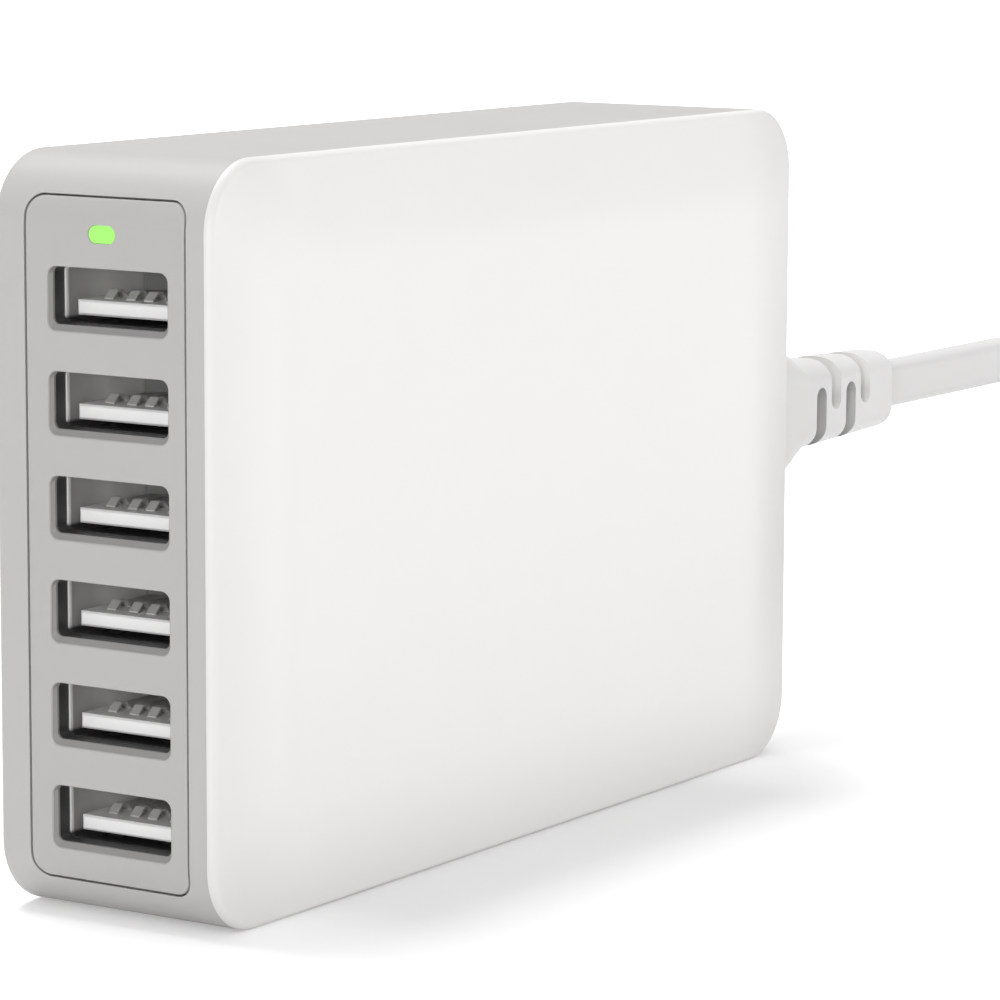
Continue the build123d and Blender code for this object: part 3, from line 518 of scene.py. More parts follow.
    def grain(self, size: float, roughness: float, swing: float, strength: float, height: float) -> None:
        """Gives the surface a fine grain, in its gloss and in its relief.

        Args:
            size: The grain's size in millimetres.
            roughness: The middle of the roughness.
            swing: How far the roughness goes up and down.
            strength: The relief's strength.
            height: The relief's height in millimetres.
        """
        fine = self.noise(size, detail=2.0)
        self.rough(fine, roughness, swing)
        self.bump(fine, strength, height)


def tone(colour: Colour, share: float) -> Colour:
    """Gives a share of a colour, no brighter than white."""
    red, green, blue = (min(part * share, 1.0) for part in colour)
    return red, green, blue


@dataclass(frozen=True)
class Plastic:
    """A moulded finish: a nearly even colour, a fine texture and a soft sheen.

    The painted edge shade is the share by which the colour falls off towards the case's outline, standing in
    for shade on the pillowed face's edges.
    """

    name: str
    colour: Colour
    roughness: float = 0.5
    vary: float = 0.02
    grain: float = 0.35
    relief: float = 0.006
    coat: float = 0.0
    painted_edge_shade: float = 0.0
    painted_edge_shade_reach: ClassVar[float] = 13 * MM
    painted_edge_shade_lift: ClassVar[float] = 12 * MM
    painted_edge_shade_drop: ClassVar[float] = 5 * MM
    cloud: ClassVar[float] = 14.0
    swing: ClassVar[float] = 0.05
    strength: ClassVar[float] = 0.6

    def paint_edge_shade(self, nodes: Nodes) -> None:
        """Paints shade into the colour towards the case's outline, but not at its top.

        Args:
            nodes: The finish's nodes, with the colour in place.
        """
        low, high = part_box("centre_band")
        high = high + Vector((1, 0, self.painted_edge_shade_lift))
        low = low - Vector((1, 0, self.painted_edge_shade_drop))
        inner = (high - low) / 2 - Vector((0, self.painted_edge_shade_reach, self.painted_edge_shade_reach))
        off = nodes.box_distance((low + high) / 2, inner)
        ends, shares = (0, self.painted_edge_shade_reach), (1, 1 - self.painted_edge_shade)
        share = nodes.span(off, ends, shares, interpolation_type="SMOOTHSTEP")
        colour = nodes.shader.inputs["Base Color"].links[0].from_socket
        nodes.shade({"Base Color": nodes.dim(colour, share)})

    def material(self) -> bpy.types.Material:
        """Builds the finish.

        Returns:
            Its material.
        """
        nodes = Nodes(self.name)
        nodes.ramp(nodes.noise(self.cloud), tone(self.colour, 1 - self.vary), tone(self.colour, 1 + self.vary))
        if self.painted_edge_shade:
            self.paint_edge_shade(nodes)
        nodes.grain(self.grain, self.roughness, self.swing, self.strength, self.relief)
        nodes.shade({"Coat Weight": self.coat})
        return nodes.material


@dataclass(frozen=True)
class RecessWithPaintedShade:
    """A finish deep in a port, with painted shade: its colour falls off with the depth, and a painted shadow
    darkens it close over the port's floor.

    The painted depth shade is given as pairs of millimetres behind the case's front and shares of the colour.
    """

    name: str
    colour: Colour
    depth_shade: Stops
    roughness: float = 0.4
    metallic: float = 0.0
    shadow_foot: float = 0.0
    shadow_share: float = 0.06
    foot_blur: ClassVar[float] = 0.2
    grain: ClassVar[float] = 0.3
    swing: ClassVar[float] = 0.04
    strength: ClassVar[float] = 0.5
    relief: ClassVar[float] = 0.003
    front: ClassVar[float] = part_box("centre_band")[0].y
    floor: ClassVar[float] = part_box("usb_shell_6")[0].z
    pitch: ClassVar[float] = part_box("usb_shell_5")[0].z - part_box("usb_shell_6")[0].z

    def painted_floor_shadow(self, nodes: Nodes) -> Socket:
        """Adds the painted shadow over the port's floor, as the share of the colour that is left at a height:
        little below the foot, all of it above.

        Args:
            nodes: The finish's nodes.

        Returns:
            The socket of the share.
        """
        over = nodes.maths("SUBTRACT", nodes.axis(Along.Z), self.floor)
        inside = nodes.maths("FLOORED_MODULO", over, self.pitch)
        ends = [(1 + side * self.foot_blur) * self.shadow_foot * MM for side in (-1, 1)]
        return nodes.span(inside, ends, (self.shadow_share, 1))

    def material(self) -> bpy.types.Material:
        """Builds the finish.

        Returns:
            Its material.
        """
        nodes = Nodes(self.name)
        colour = nodes.fade(nodes.axis(Along.Y), self.front, self.colour, self.depth_shade)
        # Painted shade by depth, then a painted shadow over the port's floor.
        if self.shadow_foot:
            colour = nodes.dim(colour, self.painted_floor_shadow(nodes))
        nodes.grain(self.grain, self.roughness, self.swing, self.strength, self.relief)
        nodes.shade({"Base Color": colour, "Metallic": self.metallic})
        return nodes.material


@dataclass(frozen=True)
class GrooveWithPaintedShade:
    """A moulded finish in a slot: its colour changes with the height over the ground, as painted shade.

    The painted height shade is given as pairs of millimetres and shares of the colour.
    """

    name: str
    colour: Colour
    height_shade: Stops
    roughness: float = 0.6
    grain: ClassVar[float] = 0.4
    swing: ClassVar[float] = 0.05
    strength: ClassVar[float] = 0.6
    relief: ClassVar[float] = 0.006

    def material(self) -> bpy.types.Material:
        """Builds the finish.

        Returns:
            Its material.
        """
        nodes = Nodes(self.name)
        nodes.shade({"Base Color": nodes.fade(nodes.axis(Along.Z), 0.0, self.colour, self.height_shade)})
        nodes.grain(self.grain, self.roughness, self.swing, self.strength, self.relief)
        return nodes.material


@dataclass(frozen=True)
class Metal:
    """A drawn or plated metal finish, with fine lines along one axis."""

    name: str
    colour: Colour
    roughness: float = 0.3
    along: Along = Along.Y
    lines: float = 0.12
    drawn: ClassVar[float] = 40.0
    dark: ClassVar[float] = 0.88
    swing: ClassVar[float] = 0.08
    strength: ClassVar[float] = 0.25
    relief: ClassVar[float] = 0.004

    def material(self) -> bpy.types.Material:
        """Builds the finish.

        Returns:
            Its material.
        """
        nodes = Nodes(self.name)
        stretch = [self.drawn if axis is self.along else 1.0 for axis in Along]
        lines = nodes.noise(self.lines, stretch, 3.0)
        nodes.ramp(lines, tone(self.colour, self.dark), self.colour)
        nodes.rough(lines, self.roughness, self.swing)
        nodes.bump(lines, self.strength, self.relief)
        nodes.shade({"Metallic": 1.0})
        return nodes.material


@dataclass(frozen=True)
class Lamp:
    """A lit window: a clear green plastic that glows evenly."""

    name: str
    colour: Colour
    strength: float
    unlit: ClassVar[tuple[float, float]] = (0.08, 0.12)
    cloud: ClassVar[float] = 1.2
    roughness: ClassVar[float] = 0.25

    def material(self) -> bpy.types.Material:
        """Builds the finish.

        Returns:
            Its material.
        """
        nodes = Nodes(self.name)
        nodes.ramp(nodes.noise(self.cloud, detail=1.0), *(tone(self.colour, share) for share in self.unlit))
        nodes.shade({"Emission Color": (*self.colour, 1), "Emission Strength": self.strength})
        nodes.shade({"Roughness": self.roughness})
        return nodes.material


@dataclass(frozen=True)
class Wound:
    """Wire or tape laid round and round, in even bands across one axis."""

    name: str
    colour: Colour
    pitch: float
    across: str
    roughness: float = 0.4
    metallic: float = 0.0
    dark: ClassVar[float] = 0.6
    strength: ClassVar[float] = 0.5
    relief: ClassVar[float] = 0.1

    def material(self) -> bpy.types.Material:
        """Builds the finish.

        Returns:
            Its material.
        """
        nodes = Nodes(self.name)
        bands = nodes.bands(self.pitch, self.across)
        nodes.ramp(bands, tone(self.colour, self.dark), self.colour)
        nodes.bump(bands, self.strength, self.relief)
        nodes.shade({"Roughness": self.roughness, "Metallic": self.metallic})
        return nodes.material


@dataclass(frozen=True)
class Board:
    """A circuit board: solder mask with faint copper tracks under it."""

    name: str
    colour: Colour
    track_pitch: float = 2.54
    track: ClassVar[float] = 1.5
    grain: ClassVar[float] = 0.8
    strength: ClassVar[float] = 0.2
    relief: ClassVar[float] = 0.02
    roughness: ClassVar[float] = 0.35
    coat: ClassVar[float] = 0.4

    def material(self) -> bpy.types.Material:
        """Builds the finish.

        Returns:
            Its material.
        """
        nodes = Nodes(self.name)
        inputs = {"Vector": nodes.place, "Scale": 1 / (self.track_pitch * MM)}
        tracks = nodes.add("ShaderNodeTexVoronoi", distance="MANHATTAN", feature="DISTANCE_TO_EDGE")
        nodes.feed(tracks, inputs)
        nodes.ramp(tracks.outputs["Distance"], tone(self.colour, self.track), self.colour)
        nodes.bump(nodes.noise(self.grain), self.strength, self.relief)
        nodes.shade({"Roughness": self.roughness, "Coat Weight": self.coat})
        return nodes.material


@dataclass(frozen=True)
class Strap:
    """A woven tie: warp and weft at a fine pitch."""

    name: str
    colour: Colour
    pitch: float = 0.7
    dark: ClassVar[float] = 0.82
    strength: ClassVar[float] = 0.7
    relief: ClassVar[float] = 0.12
    roughness: ClassVar[float] = 0.85
    sheen: ClassVar[float] = 0.3

    def material(self) -> bpy.types.Material:
        """Builds the finish.

        Returns:
            Its material.
        """
        nodes = Nodes(self.name)
        weave = nodes.maths("MULTIPLY", nodes.bands(self.pitch, "Y"), nodes.bands(self.pitch, "DIAGONAL"))
        nodes.ramp(weave, tone(self.colour, self.dark), self.colour)
        nodes.bump(weave, self.strength, self.relief)
        nodes.shade({"Roughness": self.roughness, "Sheen Weight": self.sheen})
        return nodes.material


def settle(bench: Bench, slot: str, *nodes: str) -> bpy.types.Object:
    """Ties a finished, dressed piece to the frame.

    Args:
        bench: The bench that holds the piece.
        slot: The name of the slot for its finish; not used.
        nodes: The CAD nodes that it stands for.

    Returns:
        The piece.
    """
    bench.rest()
    piece = bench.piece
    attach(piece, "root")
    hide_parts(*nodes)
    LOG.info("%s: %d faces", piece.name, len(piece.data.polygons))
    return piece


@dataclass
class Case:
    """The band, the two covers and the port panel."""

    corner: float = 6.6 * MM
    corner_steps: int = 28
    wall: float = 2.2 * MM
    seam_edge: float = 0.05 * MM
    seam_steps: int = 2
    right_rim: float = 0.9 * MM
    left_rim: float = 1.7 * MM
    rim_round: float = 0.8 * MM
    rim_steps: int = 10
    crown_reach: float = 15.0 * MM
    crown_rings: int = 12
    centre_rings: int = 4
    lip_inset: float = 2.35 * MM
    lip_wall: float = 1.2 * MM
    lip_depth: float = 3.0 * MM
    pan: float = 0.6 * MM
    panel_width: float = 17.75 * MM
    panel_margin: float = 3.78 * MM
    panel_corner: float = 1.7 * MM
    panel_plate: float = 1.2 * MM
    panel_ledge: float = 1.3 * MM
    panel_edge: float = 0.12 * MM
    panel_steps: int = 10
    panel_lip: float = 0.75 * MM
    seam: float = 0.2 * MM
    port_width: float = 12.85 * MM
    port_height: float = 5.25 * MM
    mouth_side: float = 0.3 * MM
    mouth_foot: float = 0.53 * MM
    mouth_corner: float = 0.9 * MM
    mouth_depth: float = 0.5 * MM
    mouth_edge: float = 0.2 * MM
    collar: float = 0.5 * MM
    light_width: float = 3.05 * MM
    light_height: float = 1.65 * MM
    inlet_fit: float = 0.1 * MM
    inlet_collar: float = 2.0 * MM
    inlet_round: float = 0.499
    inlet_steps: int = 12
    mouth_steps: int = 4
    port_steps: int = 8
    outline_near: float = 0.4 * MM
    rim_near: float = 0.1 * MM
    rim_angle: float = math.radians(40)
    OUT: ClassVar[Vector] = Vector((1, 0, 0))
    BACKWARD: ClassVar[Vector] = Vector((0, 1, 0))

    def __post_init__(self) -> None:
        """Reads the case's main places from the frame."""
        self.low, self.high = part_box("centre_band")
        self.crown_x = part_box("side_cover_right")[1].x
        self.middle = (self.low + self.high) / 2

    def slab(self, name: str, inset: float, x0: float, x1: float) -> Bench:
        """Models the case's side outline, drawn in by an inset, between two X places.

        Args:
            name: The piece's name.
            inset: How far inside the outline it lies.
            x0: Where it starts.
            x1: Where it ends.

        Returns:
            The slab.
        """
        low = Vector((x0, self.low.y + inset, self.low.z + inset))
        high = Vector((x1, self.high.y - inset, self.high.z - inset))
        return Bench.rounded_block(name, low, high, Along.X, self.corner - inset, self.corner_steps)

    def cover(self, name: str, rim: float) -> Bench:
        """Models a cover for the right-hand side: rim, pillowed face and the lip inside the band.

        Args:
            name: The cover's name.
            rim: The height of its rim over the band.

        Returns:
            The cover.
        """
        seat = self.high.x
        flat = seat + rim - self.rim_round
        rise = self.crown_x - seat - rim
        reach = 90 - math.degrees(math.atan(2 * rise / self.crown_reach))
        bench = self.slab(name, 0, seat, flat)
        bench.pick_end(-self.OUT)
        bench.inset(self.lip_inset)
        bench.extrude(Vector((-self.lip_depth, 0, 0)))
        bench.inset(self.lip_wall)
        bench.extrude(Vector((self.lip_depth + self.pan, 0, 0)))
        bench.round_end(self.OUT, self.rim_round, self.rim_steps, reach)
        self.crown(bench, flat, math.radians(reach))
        return bench

    def on_outline(self, edge: bmesh.types.BMEdge, x: float) -> bool:
        """Tells whether an edge lies on the case's outer outline at one X place.

        Args:
            edge: The edge.
            x: The X place.

        Returns:
            Whether it does.
        """
        if any(abs(vert.co.x - x) > NEAR for vert in edge.verts):
            return False
        return self.depth_inside((edge.verts[0].co + edge.verts[1].co) / 2) < self.outline_near

    def depth_inside(self, point: Vector) -> float:
        """Gives how far a point lies inside the case's rounded side outline.

        Args:
            point: The point.

        Returns:
            Its distance from the outline, below 0 outside it.
        """
        half_y = (self.high.y - self.low.y) / 2 - self.corner
        half_z = (self.high.z - self.low.z) / 2 - self.corner
        off_y = abs(point.y - self.middle.y) - half_y
        off_z = abs(point.z - self.middle.z) - half_z
        outside = math.hypot(max(off_y, 0), max(off_z, 0)) + min(max(off_y, off_z), 0)
        return self.corner - outside

    def crown(self, bench: Bench, flat: float, angle: float) -> None:
        """Raises the cover's pillowed face in rings.

        Args:
            bench: The cover, with its rim rounded.
            flat: Where the rim's rounding starts.
            angle: The angle that the rounding turns through.
        """
        inset = self.rim_round * (1 - math.cos(angle))
        rim_x = flat + self.rim_round * math.sin(angle)
        rise = self.crown_x - rim_x
        half = Vector((1, (self.high.y - self.low.y) / 2, (self.high.z - self.low.z) / 2))
        bench.pick_end(self.OUT)
        x = rim_x
        for ring in range(1, self.crown_rings + self.centre_rings + 1):
            share = min(ring / self.crown_rings, 1.0)
            after = inset + (self.crown_reach - inset) / self.crown_rings
            height = rim_x + rise * (1 - (1 - share) ** 2)
            bench.extrude(Vector((height - x, 0, 0)))
            scale = Vector((1, (half.y - after) / (half.y - inset), (half.z - after) / (half.z - inset)))
            bench.resize(scale, self.middle)
            inset = after
            x = height

    def band(self) -> Bench:
        """Models the band: a rounded ring with its stepped panel opening and its inlet's hole.

        Returns:
            The band.
        """
        bench = self.slab("band_ring", 0, self.low.x, self.high.x)
        bench.open_ends(Along.X)
        bench.thicken(self.wall)
        bench.pick_edges(lambda edge: self.on_outline(edge, self.high.x))
        bench.bevel(self.seam_edge, self.seam_steps)
        bench.cut(self.front_skin("panel_seat", self.seam))
        bench.cut(self.panel_prism("panel_opening", -self.panel_ledge, 2 * self.corner))
        bench.cut(self.inlet_prism())
        return bench

    def front_skin(self, name: str, grow: float) -> Bench:
        """Models the layer of the case's front that the panel takes up.

        Args:
            name: The piece's name.
            grow: How much larger than the panel it is, all round.

        Returns:
            The layer, open to the front.
        """
        bench = self.panel_prism(name, grow, 2 * self.corner)
        bench.cut(self.slab("behind_panel", self.panel_plate, 2 * self.low.x, 2 * self.high.x))
        return bench

    def panel_prism(self, name: str, grow: float, depth: float) -> Bench:
        """Models the panel's outline as a prism from in front of the case to a depth.

        Args:
            name: The piece's name.
            grow: How much larger than the panel it is, all round.
            depth: How far behind the front it ends.

        Returns:
            The prism.
        """
        half = self.panel_width / 2 + grow
        margin = self.panel_margin - grow
        low = Vector((-half, self.low.y - self.wall, self.low.z + margin))
        high = Vector((half, self.low.y + depth, self.high.z - margin))
        corner = max(self.panel_corner + grow, self.seam)
        return Bench.rounded_block(name, low, high, Along.Y, corner, self.panel_steps)

    def inlet_prism(self) -> Bench:
        """Models the inlet's stadium-shaped hole.

        Returns:
            What cuts it.
        """
        low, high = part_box("inlet_housing")
        trim = self.inlet_collar - self.inlet_fit
        low = Vector((low.x + trim, self.high.y - 2 * self.wall, low.z + trim))
        high = Vector((high.x - trim, self.high.y + self.wall, high.z - trim))
        corner = (high.x - low.x) * self.inlet_round
        return Bench.rounded_block("inlet_hole", low, high, Along.Y, corner, self.inlet_steps)

    def panel(self, finishes: "Finishes") -> Bench:
        """Models the port panel: the case's own front surface, trimmed, with its sloping port mouths, their
        slopes darkened as painted shade.

        Args:
            finishes: The finishes.

        Returns:
            The panel, dressed.
        """
        bench = self.slab("panel_plate", 0, self.low.x, self.high.x)
        bench.cut(self.front_skin("panel_trim", 0), "INTERSECT")
        bench.dress(finishes.panel)
        bench.pick_edges(self.on_panel_rim)
        bench.bevel(self.panel_edge, self.seam_steps)
        for index in PORTS:
            mouth = self.mouth_cutter(index)
            mouth.dress(finishes.panel)
            # The mouth's sloping faces take a darker grey: painted shade.
            mouth.dress_faces(finishes.mouth, self.behind_edge)
            bench.cut(mouth)
            bench.cut(self.collar_cutter(index))
        bench.cut(self.light_cutter())
        return bench

    def on_panel_rim(self, edge: bmesh.types.BMEdge) -> bool:
        """Tells whether an edge is the panel's front outline.

        Args:
            edge: The edge.

        Returns:
            Whether it is.
        """
        if len(edge.link_faces) != 2 or edge.calc_face_angle(0) < self.rim_angle:
            return False
        return self.depth_inside((edge.verts[0].co + edge.verts[1].co) / 2) < self.rim_near

    def port_prism(self, index: int, grow: float, y0: float, y1: float, corner: float) -> Bench:
        """Models one port's opening as a prism.

        Args:
            index: The port's number, from the top.
            grow: How much larger than the opening it is, all round.
            y0: Where it starts.
            y1: Where it ends.
            corner: Its corner radius.

        Returns:
            The prism.
        """
        low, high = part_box(f"usb_shell_{index}")
        x, z = (low.x + high.x) / 2, (low.z + high.z) / 2
        wide, tall = self.port_width / 2 + grow, self.port_height / 2 + grow
        low = Vector((x - wide, y0, z - tall))
        high = Vector((x + wide, y1, z + tall))
        return Bench.rounded_block(f"port_prism_{index}", low, high, Along.Y, corner, self.port_steps)

    def mouth_cutter(self, index: int) -> Bench:
        """Models what cuts one port's mouth, sloping at its sides and its foot but not at its head.

        Args:
            index: The port's number, from the top.

        Returns:
            The cutter.
        """
        front = self.low.y
        low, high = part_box(f"usb_shell_{index}")
        centre = (low + high) / 2
        wide = self.port_width / 2 + self.mouth_side + self.mouth_edge
        tall = self.port_height / 2 + self.mouth_edge
        low = Vector((centre.x - wide, front - self.wall, centre.z - tall - self.mouth_foot))
        high = Vector((centre.x + wide, front, centre.z + tall))
        corner = self.mouth_corner + self.mouth_edge
        bench = Bench.rounded_block(f"mouth_{index}", low, high, Along.Y, corner, self.port_steps)
        bench.round_end(self.BACKWARD, self.mouth_edge, self.mouth_steps, hollow=True)
        bench.inset(self.mouth_side)
        bench.shift(Vector((0, self.mouth_depth - self.mouth_edge, self.mouth_foot / 2)))
        within = self.port_height + self.mouth_foot - 2 * self.mouth_side
        bench.resize(Vector((1, 1, self.port_height / within)), centre)
        bench.extrude(Vector((0, self.panel_plate, 0)))
        return bench

    def behind_edge(self, face: bmesh.types.BMFace) -> bool:
        """Tells whether a face lies deeper than the mouths' rounded edges."""
        return face.calc_center_median().y > self.low.y + self.mouth_edge

    def collar_cutter(self, index: int) -> Bench:
        """Models the room for the black frame's collar behind one mouth; the black collar lines the hole's
        walls as painted shade.
        """
        start, end = self.low.y + self.panel_lip, self.low.y + self.corner
        return self.port_prism(index, self.collar, start, end, self.mouth_corner)

    def light_cutter(self) -> Bench:
        """Models what cuts the status light's hole.

        Returns:
            The cutter.
        """
        low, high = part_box("led_lens")
        x, z = (low.x + high.x) / 2, (low.z + high.z) / 2
        wide, tall = self.light_width / 2, self.light_height / 2
        low = Vector((x - wide, self.low.y - self.wall, z - tall))
        high = Vector((x + wide, self.low.y + self.corner, z + tall))
        return Bench.rounded_block("light_hole", low, high, Along.Y, tall * FULL_ROUND, self.panel_steps)

    def build(self, finishes: "Finishes") -> None:
        """Models, smooths and dresses the case's pieces.

        Args:
            finishes: The finishes.
        """
        cover = self.cover("side_cover_shell", self.right_rim)
        cover.pick_edges(lambda edge: self.on_outline(edge, self.high.x))
        cover.bevel(self.seam_edge, self.seam_steps)
        cover.smooth()
        cover.dress(finishes.cover)
        settle(cover, "white_cover", "side_cover_right")
        other = self.cover("side_cover_shell_left", self.left_rim)
        other.mirror_x()
        other.smooth()
        other.dress(finishes.band)
        settle(other, "grey_band", "side_cover_left")
        band = self.band()
        band.smooth()
        band.dress(finishes.band)
        settle(band, "grey_band", "centre_band")
        panel = self.panel(finishes)
        panel.smooth()
        settle(panel, "grey_panel", "port_panel")


@dataclass
class Connector:
    """The moulded connector: grip, sloping shoulder and slotted strain relief."""

    corner: float = 4.2 * MM
    corner_steps: int = 10
    body: float = 12.1 * MM
    shoulder: float = 6.9 * MM
    relief_width: float = 8.0 * MM
    relief_height: float = 10.2 * MM
    tip_width: float = 6.9 * MM
    tip_height: float = 9.0 * MM
    tip_round: float = 1.8 * MM
    tip_steps: int = 6
    heel_round: float = 0.8 * MM
    break_round: float = 0.7 * MM
    break_steps: int = 4
    nose: float = 9.5 * MM
    slot_width: float = 2.4 * MM
    slot_start: float = 2.9 * MM
    slot_pitch: float = 3.65 * MM
    slots: int = 4
    slot_steps: int = 8
    low_slot_end: float = 2.0 * MM
    high_slot_end: float = -0.8 * MM
    core_width: float = 3.8 * MM
    core_height: float = 5.8 * MM
    core_corner: float = 1.3 * MM
    core_steps: int = 6
    smooth_angle: float = 40.0
    ALONG: ClassVar[Vector] = Vector((0, 1, 0))

    def __post_init__(self) -> None:
        """Reads the connector's place from the frame."""
        self.low, self.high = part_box("cord_connector")
        self.face = self.low.y + self.nose
        self.centre = (self.low + self.high) / 2
        self.relief = self.face + self.body + self.shoulder

    def shell(self) -> Bench:
        """Models the connector's outside, from the grip's face to the relief's tip.

        Returns:
            The connector, without its slots.
        """
        low = Vector((self.low.x, self.face + self.heel_round, self.low.z))
        high = Vector((self.high.x, self.face + self.body, self.high.z))
        bench = Bench.rounded_block("connector_moulding", low, high, Along.Y, self.corner, self.corner_steps)
        width, height = self.high.x - self.low.x, self.high.z - self.low.z
        bench.round_end(-self.ALONG, self.heel_round, self.break_steps)
        bench.pick_end(self.ALONG)
        bench.extrude(Vector((0, self.shoulder, 0)))
        bench.resize(Vector((self.relief_width / width, 1, self.relief_height / height)), self.centre)
        bench.extrude(Vector((0, self.high.y - self.tip_round - self.relief, 0)))
        scale = Vector((self.tip_width / self.relief_width, 1, self.tip_height / self.relief_height))
        bench.resize(scale, self.centre)
        for y in (self.face + self.body, self.relief):
            bench.pick_ring(y)
            bench.bevel(self.break_round, self.break_steps)
        bench.round_end(self.ALONG, self.tip_round, self.tip_steps)
        return bench

    def slot_cutter(self, index: int) -> Bench:
        """Models what cuts one flexing slot, by turns from below and from above.

        Args:
            index: The slot's number, from the case outwards.

        Returns:
            The cutter, with the relief's core left out of it.
        """
        y = self.relief + self.slot_start + index * self.slot_pitch
        half = self.slot_width / 2
        reach = self.high.z - self.low.z
        if index % 2 == 0:
            ends = (self.centre.z - reach, self.centre.z + self.low_slot_end)
        else:
            ends = (self.centre.z + self.high_slot_end, self.centre.z + reach)
        low = Vector((self.low.x - half, y - half, ends[0]))
        high = Vector((self.high.x + half, y + half, ends[1]))
        corner = half * FULL_ROUND
        bench = Bench.rounded_block(f"relief_slot_{index}", low, high, Along.X, corner, self.slot_steps)
        core = Vector((self.core_width, 4 * self.slot_width, self.core_height)) / 2
        place = Vector((self.centre.x, y, self.centre.z))
        low, high = place - core, place + core
        bench.cut(Bench.rounded_block("relief_core", low, high, Along.Y, self.core_corner, self.core_steps))
        return bench

    def build(self, finishes: "Finishes") -> bpy.types.Object:
        """Models, smooths and dresses the connector.

        Args:
            finishes: The finishes.

        Returns:
            The connector.
        """
        bench = self.shell()
        bench.dress(finishes.moulding)
        for index in range(self.slots):
            slot = self.slot_cutter(index)
            # Painted shade in the low slots, painted light and shade in the high ones.
            slot.dress(finishes.lightened_high_slot if index % 2 else finishes.shaded_low_slot)
            bench.cut(slot)
        bench.smooth(self.smooth_angle)
        return settle(bench, "white_moulding", "cord_connector")


@dataclass
class Pass:
    """One leg of the hank, with the lane and layer it starts and ends in."""

    leg: Leg
    lanes: tuple[int, int]
    layers: tuple[int, int]
    lane_window: tuple[float, float] = (0.0, 1.0)
    layer_window: tuple[float, float] = (0.0, 1.0)


